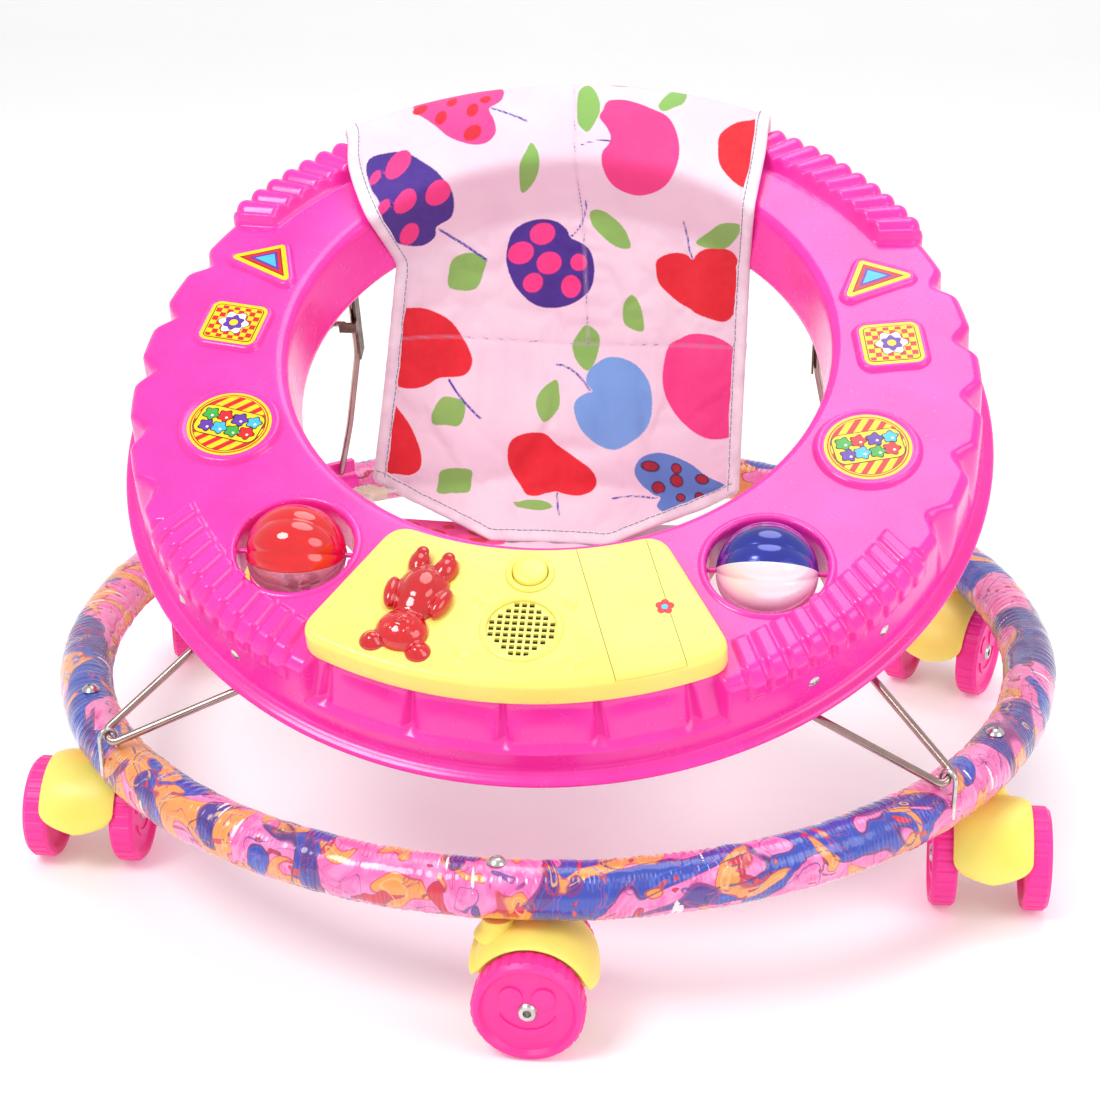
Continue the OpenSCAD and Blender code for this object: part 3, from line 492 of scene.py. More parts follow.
def make_tray():
    """The tray: lip, outer wall, deck and wall of the seat hole, as one thin moulding."""
    count = 1440
    a = np.linspace(-180, 180, count, endpoint=False)[:, None]
    side = np.abs(a)
    out = np.column_stack([np.sin(np.radians(a[:, 0])), -np.cos(np.radians(a[:, 0]))])
    # stations: where along the section each column lies; r is the radius before the deck
    r = [275.0, 276.4, 277.0, 276.4, 275.0, 272.5, 270.5, 269.3, 268.6]
    h = [-0.6, -0.4, 0.3, 1.3, 2.3, 2.6, 3.2, 4.4, 6.2]
    wall_h = np.linspace(8, 43, 30)
    r += list(268.4 - 1.9 * (wall_h - 8) / 35)
    h += list(wall_h)
    fillet = np.radians(np.linspace(6, 90, 10))
    r += list(259.5 + 7.0 * np.cos(fillet))
    h += list(43 + 7.0 * np.sin(fillet))
    n_out = len(r)
    r, h = np.array(r)[None, :] + 0 * a, np.array(h)[None, :] + 0 * a
    # the notched sides and the scooped front push the upper wall inwards
    high = smooth((h - 9) / 40)
    notch = sum(smooth(1 - np.abs(side - c) / NOTCH_HALF) for c in NOTCHES)
    r = r - NOTCH_DEPTH * notch * np.clip((h - 10) / 38, 0, 1)
    front = band(side, -1, 26.0, 1.2)
    cell = np.abs((((a - SCALLOP_FROM) / SCALLOP_PITCH) % 1.0) - 0.5) * 2
    ledge = smooth((h - 19) / 3.0)
    lean = 4.5 + 7.5 * np.clip((h - 22) / 24, 0, 1)
    groove = smooth(1 - np.abs(1 - cell) / (0.24 - 0.13 * np.clip((h - 20) / 26, 0, 1)))
    hollow = 2.0 * (1 - cell ** 2) * np.sin(np.pi * np.clip((h - 20) / 28, 0, 1))
    r = r - front * ledge * (lean + 4.2 * groove + hollow)
    # ribs and steps over the shoulders
    ribs = band(side, 29.7, 59.6, 0.5)
    bar = smooth((np.cos(2 * np.pi * (side - RIB_FROM) / RIB_PITCH) + 0.76) / 0.5)
    r = r + ribs * (2.6 * bar - 0.6) * smooth((h - 31) / 5)
    r = r - ribs * 3.4 * smooth((h - 43) / 6)
    rear = band(side, 121.3, 157.0, 0.9)
    ridge = np.abs(np.cos(np.pi * (side - REAR_FROM) / RIB_PITCH)) ** 0.8
    r = r + rear * (1.2 + 3.0 * ridge) * smooth((h - 24) / 12)
    h = h + rear * 7.0 * smooth((h - 24) / 20)
    outer = r[..., None] * out[:, None, :]
    # deck from the shoulder to the edge of the seat hole
    inner = np.array([0, HOLE_Y]) + 180.0 * out
    s = np.r_[np.linspace(0.02, 0.5, 40), np.linspace(0.53, 1, 22)][None, :, None]
    edge = outer[:, -1:, :]
    deck = edge * (1 - s) + inner[:, None, :] * s
    deck_r = np.linalg.norm(deck, axis=2)
    deck_h = DECK_H + 0 * deck_r
    deck_h = deck_h + 0.8 * np.sin(np.pi * np.clip(s[..., 0], 0, 1))
    on_bar = ribs * bar * smooth((deck_r - 237) / 2.5)
    deck_h = deck_h + RIB_HEIGHT * on_bar
    deck_h = deck_h + rear * smooth((deck_r - 236.5) / 6.0) * 7.0
    deck_h = deck_h + rear * smooth((deck_r - 240) / 4.0) * 3.4 * ridge
    h[:, n_out - 10:] += (ribs * bar * RIB_HEIGHT) * smooth((h[:, n_out - 10:] - 44) / 5)
    h[:, n_out - 14:] += rear * 3.4 * ridge * smooth((h[:, n_out - 14:] - 44) / 8)
    # rolled edge and wall of the seat hole
    turn = np.radians(np.linspace(0, 84, 9))[1:]
    rim_r = list(180.0 - 7.0 * np.sin(turn)) + list(np.linspace(172.6, 169.6, 16)) + [169.9, 171.4]
    rim_h = list(43 + 7.0 * np.cos(turn)) + list(np.linspace(40.5, 1.6, 16)) + [-0.4, -1.2]
    rim = np.array([0, HOLE_Y]) + np.array(rim_r)[None, :, None] * out[:, None, :]
    points = np.concatenate([
        np.concatenate([outer, h[..., None]], 2),
        np.concatenate([deck, deck_h[..., None]], 2),
        np.concatenate([rim, np.tile(np.array(rim_h)[None, :, None], (count, 1, 1))], 2)], 1)
    cols = points.shape[1]
    flat = points.reshape(-1, 3)
    faces = grid(count, cols, wrap_rows=True)
    centre = flat[faces].mean(1)
    near = np.hypot(np.abs(centre[:, 0]) - BALL_X, centre[:, 1] - BALL_Y)
    faces = faces[~((near < 36.6) & (centre[:, 2] > 44))]
    used = np.unique(faces)
    back = np.full(len(flat), -1)
    back[used] = np.arange(len(used))
    # the cut edge is drawn onto a true circle
    near = np.hypot(np.abs(flat[:, 0]) - BALL_X, flat[:, 1] - BALL_Y)
    pull = (near < 38.4) & (flat[:, 2] > 44) & (near > 1)
    sx = np.sign(flat[:, 0]) * BALL_X
    flat[pull, 0] = sx[pull] + (flat[pull, 0] - sx[pull]) / near[pull] * WELL_R
    flat[pull, 1] = BALL_Y + (flat[pull, 1] - BALL_Y) / near[pull] * WELL_R
    o = piece("tray_moulding", [(tray(flat[used]), back[faces])], PINK, "tray",
              replaces=["tray_shell"], slot="pink_plastic")
    with edited(o.data) as bm:
        bmesh.ops.dissolve_degenerate(bm, dist=1e-5, edges=bm.edges)
        bm.normal_update()
        if sum(f.normal.z * f.calc_area() for f in bm.faces) < 0:
            bmesh.ops.reverse_faces(bm, faces=bm.faces)
    modifier(o, "SOLIDIFY", thickness=TRAY_THICK * MM, offset=-1)


make_tray()

pads = []
collar = [(34.9, 22), (34.9, 47.5), (35.3, 50.0), (36.4, 51.5), (37.8, 51.9), (39.2, 51.4), (40.6, 50.4),
          (41.4, 49.4), (38.4, 47.6), (37.0, 45.0), (37.0, 22)]
for sx in (-1, 1):
    pads.append(in_tray(move(lathe(collar, 96, closed=True), (sx * BALL_X, BALL_Y, 0))))
    round_edge = [(0.0, 53.3), (27.4, 53.3), (28.0, 53.5), (29.4, 54.0), (30.6, 53.8), (31.6, 52.9),
                  (32.4, 51.4), (33.4, 50.2), (34.6, 49.6)]
    pads.append(in_tray(move(lathe(round_edge, 96), (sx * 196, -54, 0))))
    box4 = [(-13, -12), (13, -12), (13, 12), (-13, 12)]
    levels = [(-2.6, 49.4), (-1.2, 50.4), (-0.5, 51.8), (0.4, 53.0), (1.6, 53.6), (2.8, 53.6), (3.6, 53.1)]
    square = stacked(lambda i: rounded(box4, 9 - i, 10), levels)
    pads.append(in_tray(move(square, (sx * 210, 35, 0), spin_z(9 * sx))))
    tri = [(-20, -10), (20, -10), (0, 12)]
    triangle = stacked(lambda i: rounded(tri, 6 - i, 12), levels)
    pads.append(in_tray(move(triangle, (sx * 197, 97, 0), spin_z(28 * sx))))
pad_piece = piece("tray_pads", pads, PINK, "tray", slot="pink_plastic")
sharpen(pad_piece, 50)

for node, look in {
        "ring_tube": TUBE, "ring_joiner": TUBE, "ring_padding": FOAM, "caster_bolts": STEEL,
        "wire_eyelets": STEEL, "tray_rivets": STEEL, "panel_screws": STEEL, "leg_saddles": PINK,
        "wire_clips": STEEL, "panel_base": YELLOW, "button_dome": RUBBER, "speaker": BLACK,
        "circuit_board": BOARD, "batteries": BATTERY, "left_ball_axle": PINK, "right_ball_axle": PINK,
        "left_ball_beads": BEADS, "right_ball_beads": BEADS, "left_latch_plate": LATCH,
        "right_latch_plate": LATCH, "ring_film": FOAM, "stickers": PRINT_YELLOW, "music_panel": YELLOW,
        "battery_cover": YELLOW, "play_button": YELLOW, "animal_lens": LENS_RED,
        "left_ball_top": RED_CLEAR, "left_ball_bottom": PINK_CLEAR, "right_ball_top": BLUE,
        "right_ball_bottom": PEARL, "left_front_strut": NICKEL, "right_front_strut": NICKEL,
        "left_rear_leg": NICKEL, "right_rear_leg": NICKEL, "left_stay": NICKEL, "right_stay": NICKEL,
        "strap_buckle": IVORY, "seat_strap": FOAM, "seat_back": FOAM, "seat_front": FOAM,
        "seat_binding": FOAM,
        **{c + "_hood": HOOD_YELLOW for c in CASTERS}, **{c + "_wheels": WHEEL_PINK for c in CASTERS},
        **{c + "_axle": STEEL for c in CASTERS}}.items():
    NODES[node].data.materials.clear()
    NODES[node].data.materials.append(look)
    NODES[node].data.set_sharp_from_angle(angle=math.radians(30))


# --- music panel ------------------------------------------------------------------------
def panel_curve():
    """Closed outline of the music panel, with round corners."""
    half = math.radians(29)
    a = np.linspace(-half, half, 90)
    outer = np.column_stack([256 * np.sin(a), -256 * np.cos(a)])
    reach = (-70 * math.cos(half) + math.sqrt((70 * math.cos(half)) ** 2 - 4 * (1225 - 191 ** 2))) / 2
    corner = np.array([reach * math.sin(half), -reach * math.cos(half)])
    b = math.atan2(corner[0], HOLE_Y - corner[1])
    b = np.linspace(b, -b, 70)
    inner = np.column_stack([191 * np.sin(b), HOLE_Y - 191 * np.cos(b)])
    right_side = np.linspace(outer[-1], inner[0], 40)[1:-1]
    left_side = np.linspace(inner[-1], outer[0], 40)[1:-1]
    loop = np.vstack([outer, right_side, inner, left_side])
    corners = [outer[0], outer[-1], inner[0], inner[-1]]
    near = np.array([min(np.linalg.norm(p - c) for c in corners) < 17 for p in loop])
    start = int(np.argmin(near))
    loop, near = np.roll(loop, -start, 0), np.roll(near, -start)
    points, k = [], 0
    while k < len(loop):
        if not near[k]:
            points.append(loop[k])
            k += 1
            continue
        end = k
        while end < len(loop) and near[end]:
            end += 1
        p, q = loop[k], loop[min(end, len(loop)) - 1]
        c = min(corners, key=lambda w: np.linalg.norm(w - p))
        points += [(1 - t) ** 2 * p + 2 * t * (1 - t) * c + t * t * q for t in np.linspace(0, 1, 12)]
        k = end
    return np.array(points)


PANEL = panel_curve()


def inset_panel(amount):
    """Outline of the music panel shrunk by amount."""
    t = np.roll(PANEL, -1, 0) - np.roll(PANEL, 1, 0)
    n = np.column_stack([-t[:, 1], t[:, 0]])
    n /= np.linalg.norm(n, axis=1)[:, None]
    if ((PANEL - PANEL.mean(0)) * n).sum() > 0:
        n = -n
    return PANEL + amount * n


def prism(outline, low, high):
    """Upright solid between two heights."""
    n = len(outline)
    p = np.vstack([np.column_stack([outline, np.full(n, low)]), np.column_stack([outline, np.full(n, high)])])
    return p, [tuple(q) for q in grid(2, n, wrap_cols=True)] + [tuple(range(n))[::-1], tuple(range(n, 2 * n))]


def circle(x, y, r, n=48):
    """Outline of a circle."""
    a = full_turn(n)
    return np.column_stack([x + r * np.cos(a), y + r * np.sin(a)])


def cutter(name, parts):
    """A solid in the tray's frame for a boolean."""
    mesh = bpy.data.meshes.new(name)
    verts, faces, base = [], [], 0
    for p, f in parts:
        verts.append(tray(p))
        faces += [tuple(int(k) + base for k in q) for q in f]
        base += len(p)
    mesh.from_pydata((np.vstack(verts) * MM).tolist(), [], faces)
    o = bpy.data.objects.new(name, mesh)
    scene.collection.objects.link(o)
    return o


def carve(o, solids, operation="DIFFERENCE"):
    """Cuts a piece with closed solids of the tray's frame."""
    cut = cutter(o.name + "_cut", solids)
    fix = bmesh.new()
    for obj in (o, cut):
        fix.from_mesh(obj.data)
        bmesh.ops.recalc_face_normals(fix, faces=fix.faces)
        fix.to_mesh(obj.data)
        fix.clear()
    fix.free()
    m = modifier(o, "BOOLEAN", operation=operation, object=cut, solver="EXACT")
    m.use_self = False
    bake_modifiers(o)
    bpy.data.objects.remove(cut)


def strip(width):
    """Strip of the battery cover, turned 18 degrees about the tray's middle."""
    turn = math.radians(18)
    box4 = np.array([(-width / 2, -330), (width / 2, -330), (width / 2, -60), (-width / 2, -60)])
    return box4 @ np.array([[math.cos(turn), math.sin(turn)], [-math.sin(turn), math.cos(turn)]])


PANEL_LEVELS = [(0.8, 50.2), (0.2, 50.8), (0.0, 52.0), (0.25, 62.5), (0.5, 64.4), (1.0, 66.0), (1.9, 67.2),
                (3.0, 67.8), (4.4, 68.0)]
BUTTON, SPEAKER = (5.0, -176.0), (4.0, -216.0)
panel_solid = stacked(inset_panel, PANEL_LEVELS)
panel_solid = (panel_solid[0], panel_solid[1] + [tuple(range(len(PANEL)))[::-1]])
panel = piece("panel_case", [in_tray(panel_solid)], YELLOW, "tray", replaces=["music_panel"],
              slot="yellow_plastic")
holes = [prism(np.array([(-1.45, -1.45), (1.45, -1.45), (1.45, 1.45), (-1.45, 1.45)]) +
               (SPEAKER[0] + 4.3 * ix, SPEAKER[1] + 4.3 * iy), 58, 80)
         for ix in range(-4, 5) for iy in range(-4, 5) if math.hypot(ix, iy) < 4.2]
carve(panel, [prism(strip(41.0), 65.5, 90)])
carve(panel, [prism(circle(*SPEAKER, 20), 67.3, 80), prism(circle(*BUTTON, 10.25), 54.0, 90)])
carve(panel, holes)
sharpen(panel, 28)
cover = piece("panel_cover", [in_tray(panel_solid)], YELLOW, "cover", replaces=["battery_cover"],
              slot="yellow_plastic")
carve(cover, [prism(strip(40.2), 65.8, 90)], "INTERSECT")
sharpen(cover, 28)


def panel_lathe(spot, profile, segments=72, closed=True):
    """Turned part that stands on the music panel."""
    return in_tray(move(lathe(profile, segments, closed=closed), (*spot, 0)))


speaker_ring = [(19.7, 67.2), (19.9, 68.5), (20.6, 69.2), (21.6, 69.4), (22.8, 69.1), (23.6, 68.4),
                (24.1, 67.9), (23.0, 67.0)]
button_ring = [(10.3, 67.0), (10.4, 69.0), (10.9, 69.7), (11.8, 70.0), (12.9, 69.8), (13.8, 69.0),
               (14.4, 67.9), (13.2, 67.0)]
bump = [(0.01, 69.0), (1.6, 68.9), (3.0, 68.6), (4.2, 68.15), (4.9, 67.9)]
bumps = [panel_lathe(spot, bump, 32, False) for spot in ((-27, -238), (36, -238), (-22, -198), (30, -197))]
piece("panel_collars", [panel_lathe(SPEAKER, speaker_ring), panel_lathe(BUTTON, button_ring)] + bumps, YELLOW,
      "tray", slot="yellow_plastic")
button_profile = [(9.9, 60.2), (9.9, 70.2), (9.75, 71.2), (9.2, 71.9), (8.0, 72.3), (5.0, 72.5), (2.5, 72.55),
                  (0.01, 72.55)]
piece("panel_button", [panel_lathe(BUTTON, button_profile, closed=False)], YELLOW, "button",
      replaces=["play_button"], slot="yellow_plastic")


# --- plain teddy relief -----------------------------------------------------------------
def ellipsoid(centre, radii, turn=0.0, n=28):
    """Closed ellipsoid, turned about Z."""
    u = full_turn(n)[:, None]
    v = np.linspace(0.02, math.pi - 0.02, n // 2)[None, :]
    p = np.stack([np.cos(u) * np.sin(v) * radii[0], np.sin(u) * np.sin(v) * radii[1],
                  np.cos(v) * radii[2] + 0 * u], -1).reshape(-1, 3)
    c, s = math.cos(math.radians(turn)), math.sin(math.radians(turn))
    p = p @ np.array([[c, s, 0], [-s, c, 0], [0, 0, 1]]) + np.asarray(centre)
    m = n // 2
    return p, [tuple(q) for q in grid(n, m, wrap_rows=True)] + [
        tuple(k * m for k in range(n))[::-1], tuple(k * m + m - 1 for k in range(n))]


lens_parts = [ellipsoid((0, 5, 0), (16, 22, 11)), ellipsoid((0, -24, 1), (15.5, 14, 11)),
              ellipsoid((-13.8, -34.5, 0), (7.8, 7.8, 5.8)), ellipsoid((13.8, -34.5, 0), (7.8, 7.8, 5.8)),
              ellipsoid((-15, -1, 4.5), (4.8, 11, 5.6), 10), ellipsoid((15, -1, 4.5), (4.8, 11, 5.6), -10),
              ellipsoid((-8, 24, 2), (7.0, 10.0, 8.0), 8), ellipsoid((8, 24, 2), (7.0, 10.0, 8.0), -8),
              ellipsoid((0, -22, 9.5), (6.2, 5.0, 4.2)), ellipsoid((0, 6, 8.0), (9.5, 12.5, 4.4)),
              ellipsoid((0, -23.5, 13.4), (2.1, 1.6, 1.4)), ellipsoid((-6, -28.5, 9.8), (1.8, 1.8, 1.7)),
              ellipsoid((6, -28.5, 9.8), (1.8, 1.8, 1.7)), ellipsoid((-13.8, -34.8, 4.2), (4.2, 4.2, 2.8)),
              ellipsoid((13.8, -34.8, 4.2), (4.2, 4.2, 2.8)), ellipsoid((-8, 29.5, 7.4), (4.0, 4.4, 2.8)),
              ellipsoid((8, 29.5, 7.4), (4.0, 4.4, 2.8))]
lens_at = (-57, -199, PANEL_TOP - 1.5)
lens = piece("teddy_lens", [in_tray(move(part, lens_at, spin_z(-14))) for part in lens_parts], LENS_RED,
             "tray", replaces=["animal_lens"], slot="clear_red")
modifier(lens, "REMESH", mode="VOXEL", voxel_size=0.0006, use_smooth_shade=True)
modifier(lens, "SMOOTH", factor=0.6, iterations=3)
bake_modifiers(lens)
top_normal = Vector((0, -math.sin(math.radians(TILT)), math.cos(math.radians(TILT))))
with edited(lens.data) as bm:
    bmesh.ops.bisect_plane(bm, geom=bm.verts[:] + bm.edges[:] + bm.faces[:], dist=1e-6,
                           plane_co=Vector(tray((0, 0, PANEL_TOP - 0.2))[0]) * MM, plane_no=top_normal,
                           clear_inner=True)
    bmesh.ops.holes_fill(bm, edges=[e for e in bm.edges if e.is_boundary], sides=0)
lens.data.polygons.foreach_set("use_smooth", [True] * len(lens.data.polygons))


# --- rattle balls -----------------------------------------------------------------------
def half_ball(sx, top, tip):
    """Fluted half of a ball; its flutes run from pole to pole along the axle."""
    n_phi, n_theta = 97, 60
    phi = np.linspace(0, math.pi, n_phi)[:, None]
    theta = np.linspace(0.05, math.pi - 0.05, n_theta)[None, :]
    flute = np.abs(np.cos(phi * 4.0)) ** 0.9
    fade = np.sin(theta) ** 0.5
    lip = np.exp(-(np.minimum(phi, math.pi - phi) / 0.035) ** 2)
    r = BALL_R - 0.2 - 1.5 * (1 - flute) * fade * (1 - lip) + 0.3 * lip
    sign = 1 if top else -1
    p = np.stack([r * np.cos(theta) + 0 * phi, sign * r * np.sin(theta) * np.cos(phi) * sign,
                  sign * r * np.sin(theta) * np.sin(phi)], -1).reshape(-1, 3)
    c, s = math.cos(math.radians(tip)), math.sin(math.radians(tip))
    p = p @ np.array([[1, 0, 0], [0, c, s], [0, -s, c]])
    return in_tray(move((p, grid(n_phi, n_theta)), (sx * BALL_X, BALL_Y, BALL_H)))


for sx, side, tip, top_look, low_look, slots in (
        (-1, "left", -27, RED_CLEAR, PINK_CLEAR, ("clear_red", "clear_pink")),
        (1, "right", -62, BLUE, PEARL, ("pearl_blue", "pearl_white"))):
    for word, look, slot_name in (("top", top_look, slots[0]), ("bottom", low_look, slots[1])):
        half = piece(f"{side}_rattle_{word}", [half_ball(sx, word == "top", tip)], look, f"{side}_ball",
                     replaces=[f"{side}_ball_{word}"], slot=slot_name)
        middle = Vector(tray((sx * BALL_X, BALL_Y, BALL_H))[0]) * MM
        with edited(half.data) as bm:
            bmesh.ops.recalc_face_normals(bm, faces=bm.faces)
            if sum((f.calc_center_median() - middle).dot(f.normal) for f in bm.faces) < 0:
                bmesh.ops.reverse_faces(bm, faces=bm.faces)
        modifier(half, "SOLIDIFY", thickness=0.0012, offset=-1)


# --- stickers ---------------------------------------------------------------------------
def clip(poly, inside):
    """Part of a polygon within a convex outline that runs anticlockwise."""
    poly = [np.asarray(p, float) for p in poly]
    for a, b in zip(inside, np.roll(inside, -1, 0)):
        edge = b - a
        cross = [edge[0] * (p - a)[1] - edge[1] * (p - a)[0] for p in poly]
        kept = []
        for k, p in enumerate(poly):
            q, cp, cq = poly[(k + 1) % len(poly)], cross[k], cross[(k + 1) % len(poly)]
            if cp >= 0:
                kept.append(p)
            if cp * cq < 0:
                kept.append(p + (q - p) * cp / (cp - cq))
        poly = kept
        if len(poly) < 3:
            return []
    return poly


PRINTS = {key: [] for key in ("yellow", "red", "black", "purple", "blue", "green", "white")}


def print_on(key, outline, layer, place, turn_deg, base=53.35):
    """Flat print of one colour on a pad of the tray."""
    if len(outline) < 3:
        return
    c, s = math.cos(math.radians(turn_deg)), math.sin(math.radians(turn_deg))
    p = np.asarray(outline) @ np.array([[c, s], [-s, c]]) + place
    PRINTS[key].append(in_tray((np.column_stack([p, np.full(len(p), base + 0.05 * layer)]),
                                [tuple(range(len(p)))])))


def blob(x, y, r, wave, turn_deg, n=40):
    """Outline of a flower with a number of petals."""
    a = full_turn(n)
    rr = r * (1 + 0.16 * np.cos(wave * a + math.radians(turn_deg)))
    return np.column_stack([x + rr * np.cos(a), y + rr * np.sin(a)])


for sx in (-1, 1):
    spot, turn_deg = (sx * 196, -54), 180 + 14 * sx
    disc = circle(0, 0, 26.4, 72)
    print_on("yellow", disc, 0, spot, turn_deg)
    print_on("red", circle(0, 0, 24.6, 72), 1, spot, turn_deg)
    print_on("yellow", circle(0, 0, 23.8, 72), 2, spot, turn_deg)
    inner = circle(0, 0, 22.6, 72)
    print_on("black", circle(0, 0, 23.0, 72), 3, spot, turn_deg)
    print_on("yellow", inner, 4, spot, turn_deg)
    for k in range(-4, 5):
        bar4 = np.array([(-30, -1.7), (30, -1.7), (30, 1.7), (-30, 1.7)]) + (0, k * 7.2)
        c, s = math.cos(0.9), math.sin(0.9)
        print_on("red", clip(bar4 @ np.array([[c, s], [-s, c]]), inner), 5, spot, turn_deg)
    plate = [(-15, -6), (15, -6), (15, 6), (-15, 6)]
    print_on("black", clip(rounded(plate, 6.4, 8), inner), 6, spot, turn_deg)
    print_on("yellow", clip(rounded(plate, 5.8, 8), inner), 7, spot, turn_deg)
    for key, x, y, r in (("red", -13.5, 4.5, 4.4), ("green", -4.6, 5.4, 4.2), ("blue", 4.6, 4.8, 4.4),
                         ("purple", 13.2, 5.2, 4.2), ("blue", -14.8, -5.0, 4.1), ("purple", -5.2, -4.8, 4.5),
                         ("red", 4.8, -5.2, 4.2), ("green", 14.2, -4.6, 4.4)):
        print_on("black", blob(x, y, r + 0.7, 5, 40 * x), 8, spot, turn_deg)
        print_on(key, blob(x, y, r, 5, 40 * x), 9, spot, turn_deg)
        print_on("white", circle(x - 1.2, y + 1.3, 0.9, 16), 10, spot, turn_deg)
    spot, turn_deg = (sx * 210, 35), 9 * sx
    sq = [(-13, -12), (13, -12), (13, 12), (-13, 12)]
    for layer, (key, grow) in enumerate((("yellow", 6.4), ("black", 3.4), ("yellow", 2.8))):
        print_on(key, rounded(sq, grow, 8), layer, spot, turn_deg)
    inner = rounded(sq, 2.2, 8)
    print_on("red", inner, 3, spot, turn_deg)
    for ix in range(-4, 4):
        for iy in range(-4, 4):
            if (ix + iy) % 2:
                cell4 = np.array([(0, 0), (3.8, 0), (3.8, 3.8), (0, 3.8)]) + (ix * 3.8, iy * 3.8)
                print_on("yellow", clip(cell4, inner), 4, spot, turn_deg)
    print_on("black", blob(0, 0, 9.6, 6, 0), 5, spot, turn_deg)
    print_on("white", blob(0, 0, 9.0, 6, 0), 6, spot, turn_deg)
    print_on("purple", blob(0, 0, 6.2, 6, 180), 7, spot, turn_deg)
    print_on("yellow", circle(0, 0, 2.8, 24), 8, spot, turn_deg)
    spot, turn_deg = (sx * 197, 97), 28 * sx
    tri = np.array([(-20, -10), (20, -10), (0, 12)], float)
    for layer, (key, grow) in enumerate((("yellow", 2.6), ("black", -0.6), ("red", -1.2), ("purple", -3.2),
                                         ("blue", -5.0))):
        print_on(key, rounded(tri, grow, 8), layer, spot, turn_deg)
spot = (83.0, -196.0)
for k in range(5):
    a = math.radians(72 * k + 20)
    petal = circle(spot[0] + 3.2 * math.cos(a), spot[1] + 3.2 * math.sin(a), 2.3, 20)
    print_on("red", petal, 0, (0, 0), 0, 68.1)
print_on("blue", circle(spot[0], spot[1], 1.9, 20), 1, (0, 0), 0, 68.1)
looks = {"yellow": PRINT_YELLOW, "red": PRINT_RED, "black": PRINT_BLACK, "purple": PRINT_PURPLE,
         "blue": PRINT_BLUE, "green": PRINT_GREEN, "white": PRINT_WHITE}
for key, parts in PRINTS.items():
    o = piece(f"sticker_{key}", parts, looks[key], "tray", replaces=["stickers"] if key == "yellow" else (),
              slot="sticker", flat=True)
    with edited(o.data) as bm:
        for f in bm.faces:
            if f.normal.dot(top_normal) < 0:
                f.normal_flip()

# --- printed film round the ring --------------------------------------------------------
film = Look("printed film")
big = film.add("ShaderNodeTexNoise", {"Vector": film.coords, "Scale": 9.0, "Detail": 1.0})
drift = film.add("ShaderNodeVectorMath", {0: film.coords, 1: (0, 0, 0)}, operation="ADD")
pull = film.add("ShaderNodeVectorMath", {0: big.outputs["Color"]}, operation="SCALE")
pull.inputs["Scale"].default_value = 0.055
film.put(drift.inputs[1], pull.outputs[0])
warped = drift.outputs[0]
one, two, three = (film.noise(s, 1.0, warped, distortion=d) for s, d in ((17, 1.0), (22, 1.4), (14, 0.9)))
four = film.noise(34, 2.0, warped, distortion=2.0)
color = film.mix(film.span(four, 0.45, 0.55, 0, 1), rgb("#FF6DB4"), rgb("#F889C4"))
for value, edge, code in ((one, 0.535, "#3447B4"), (two, 0.575, "#F2994E"), (three, 0.575, "#55328F"),
                          (four, 0.65, "#D8304A")):
    color = film.mix(film.span(value, edge - 0.012, edge + 0.012, 0, 1), color, rgb(code))
for value, edge, code in ((one, 0.535, "#33206A"), (one, 0.60, "#3C64CC"), (two, 0.575, "#C42C48"),
                          (two, 0.63, "#F8B678"), (three, 0.575, "#8A2A74"), (three, 0.64, "#2F3FA0"),
                          (four, 0.65, "#4A2874"), (four, 0.40, "#B83E86"), (two, 0.40, "#4A3C92")):
    away = film.math("ABSOLUTE", film.math("SUBTRACT", value, edge))
    color = film.mix(film.span(away, 0.002, 0.011, 0.85, 0.0), color, rgb(code))
fx, fy = film.axis(0), film.axis(1)
around = film.math("ARCTAN2", fx, fy)
ripple = film.math("SINE", film.math("ADD", film.math("MULTIPLY", around, 760.0),
                                     film.math("MULTIPLY", film.noise(60, 2.0), 11.0)))
creases = film.math("MULTIPLY", ripple, film.span(film.noise(26, 2.0), 0.38, 0.62, 0.15, 1.0))
film.set(Base_Color=color, Roughness=film.span(film.noise(150, 3.0), 0.3, 0.7, 0.1, 0.26),
         Normal=film.bump(film.noise(420, 3.0), 0.35, 0.00025, film.bump(creases, 0.6, 0.0005)),
         Coat_Weight=0.9, Coat_Roughness=0.06)
n_ring, n_tube = 1800, 48
a = full_turn(n_ring)[:, None]
b = full_turn(n_tube)[None, :]
lumps = sum(RNG.uniform(0.10, 0.26) * np.sin(k * a + m * b + RNG.uniform(0, 6.28))
            for k, m in ((17, 1), (29, -1), (43, 2), (61, 1), (83, -2), (113, 1), (151, 2)))
wave = np.sin(380 * a + 2.5 * np.sin(9 * a + b) + 2 * np.sin(23 * a)) * (0.1 + 0.12 * np.sin(13 * a + 2 * b))
r = FILM_R - 0.35 + 0.55 * lumps + wave
rho = RING_R + r * np.cos(b)
ring_points = np.stack([rho * np.sin(a), -rho * np.cos(a), RING_Z + r * np.sin(b)], -1).reshape(-1, 3)
film_piece = piece("ring_wrap", [(ring_points, grid(n_ring, n_tube, True, True))], film.mat, "base",
                   replaces=["ring_film"], slot="printed_film")
face_out(film_piece.data)


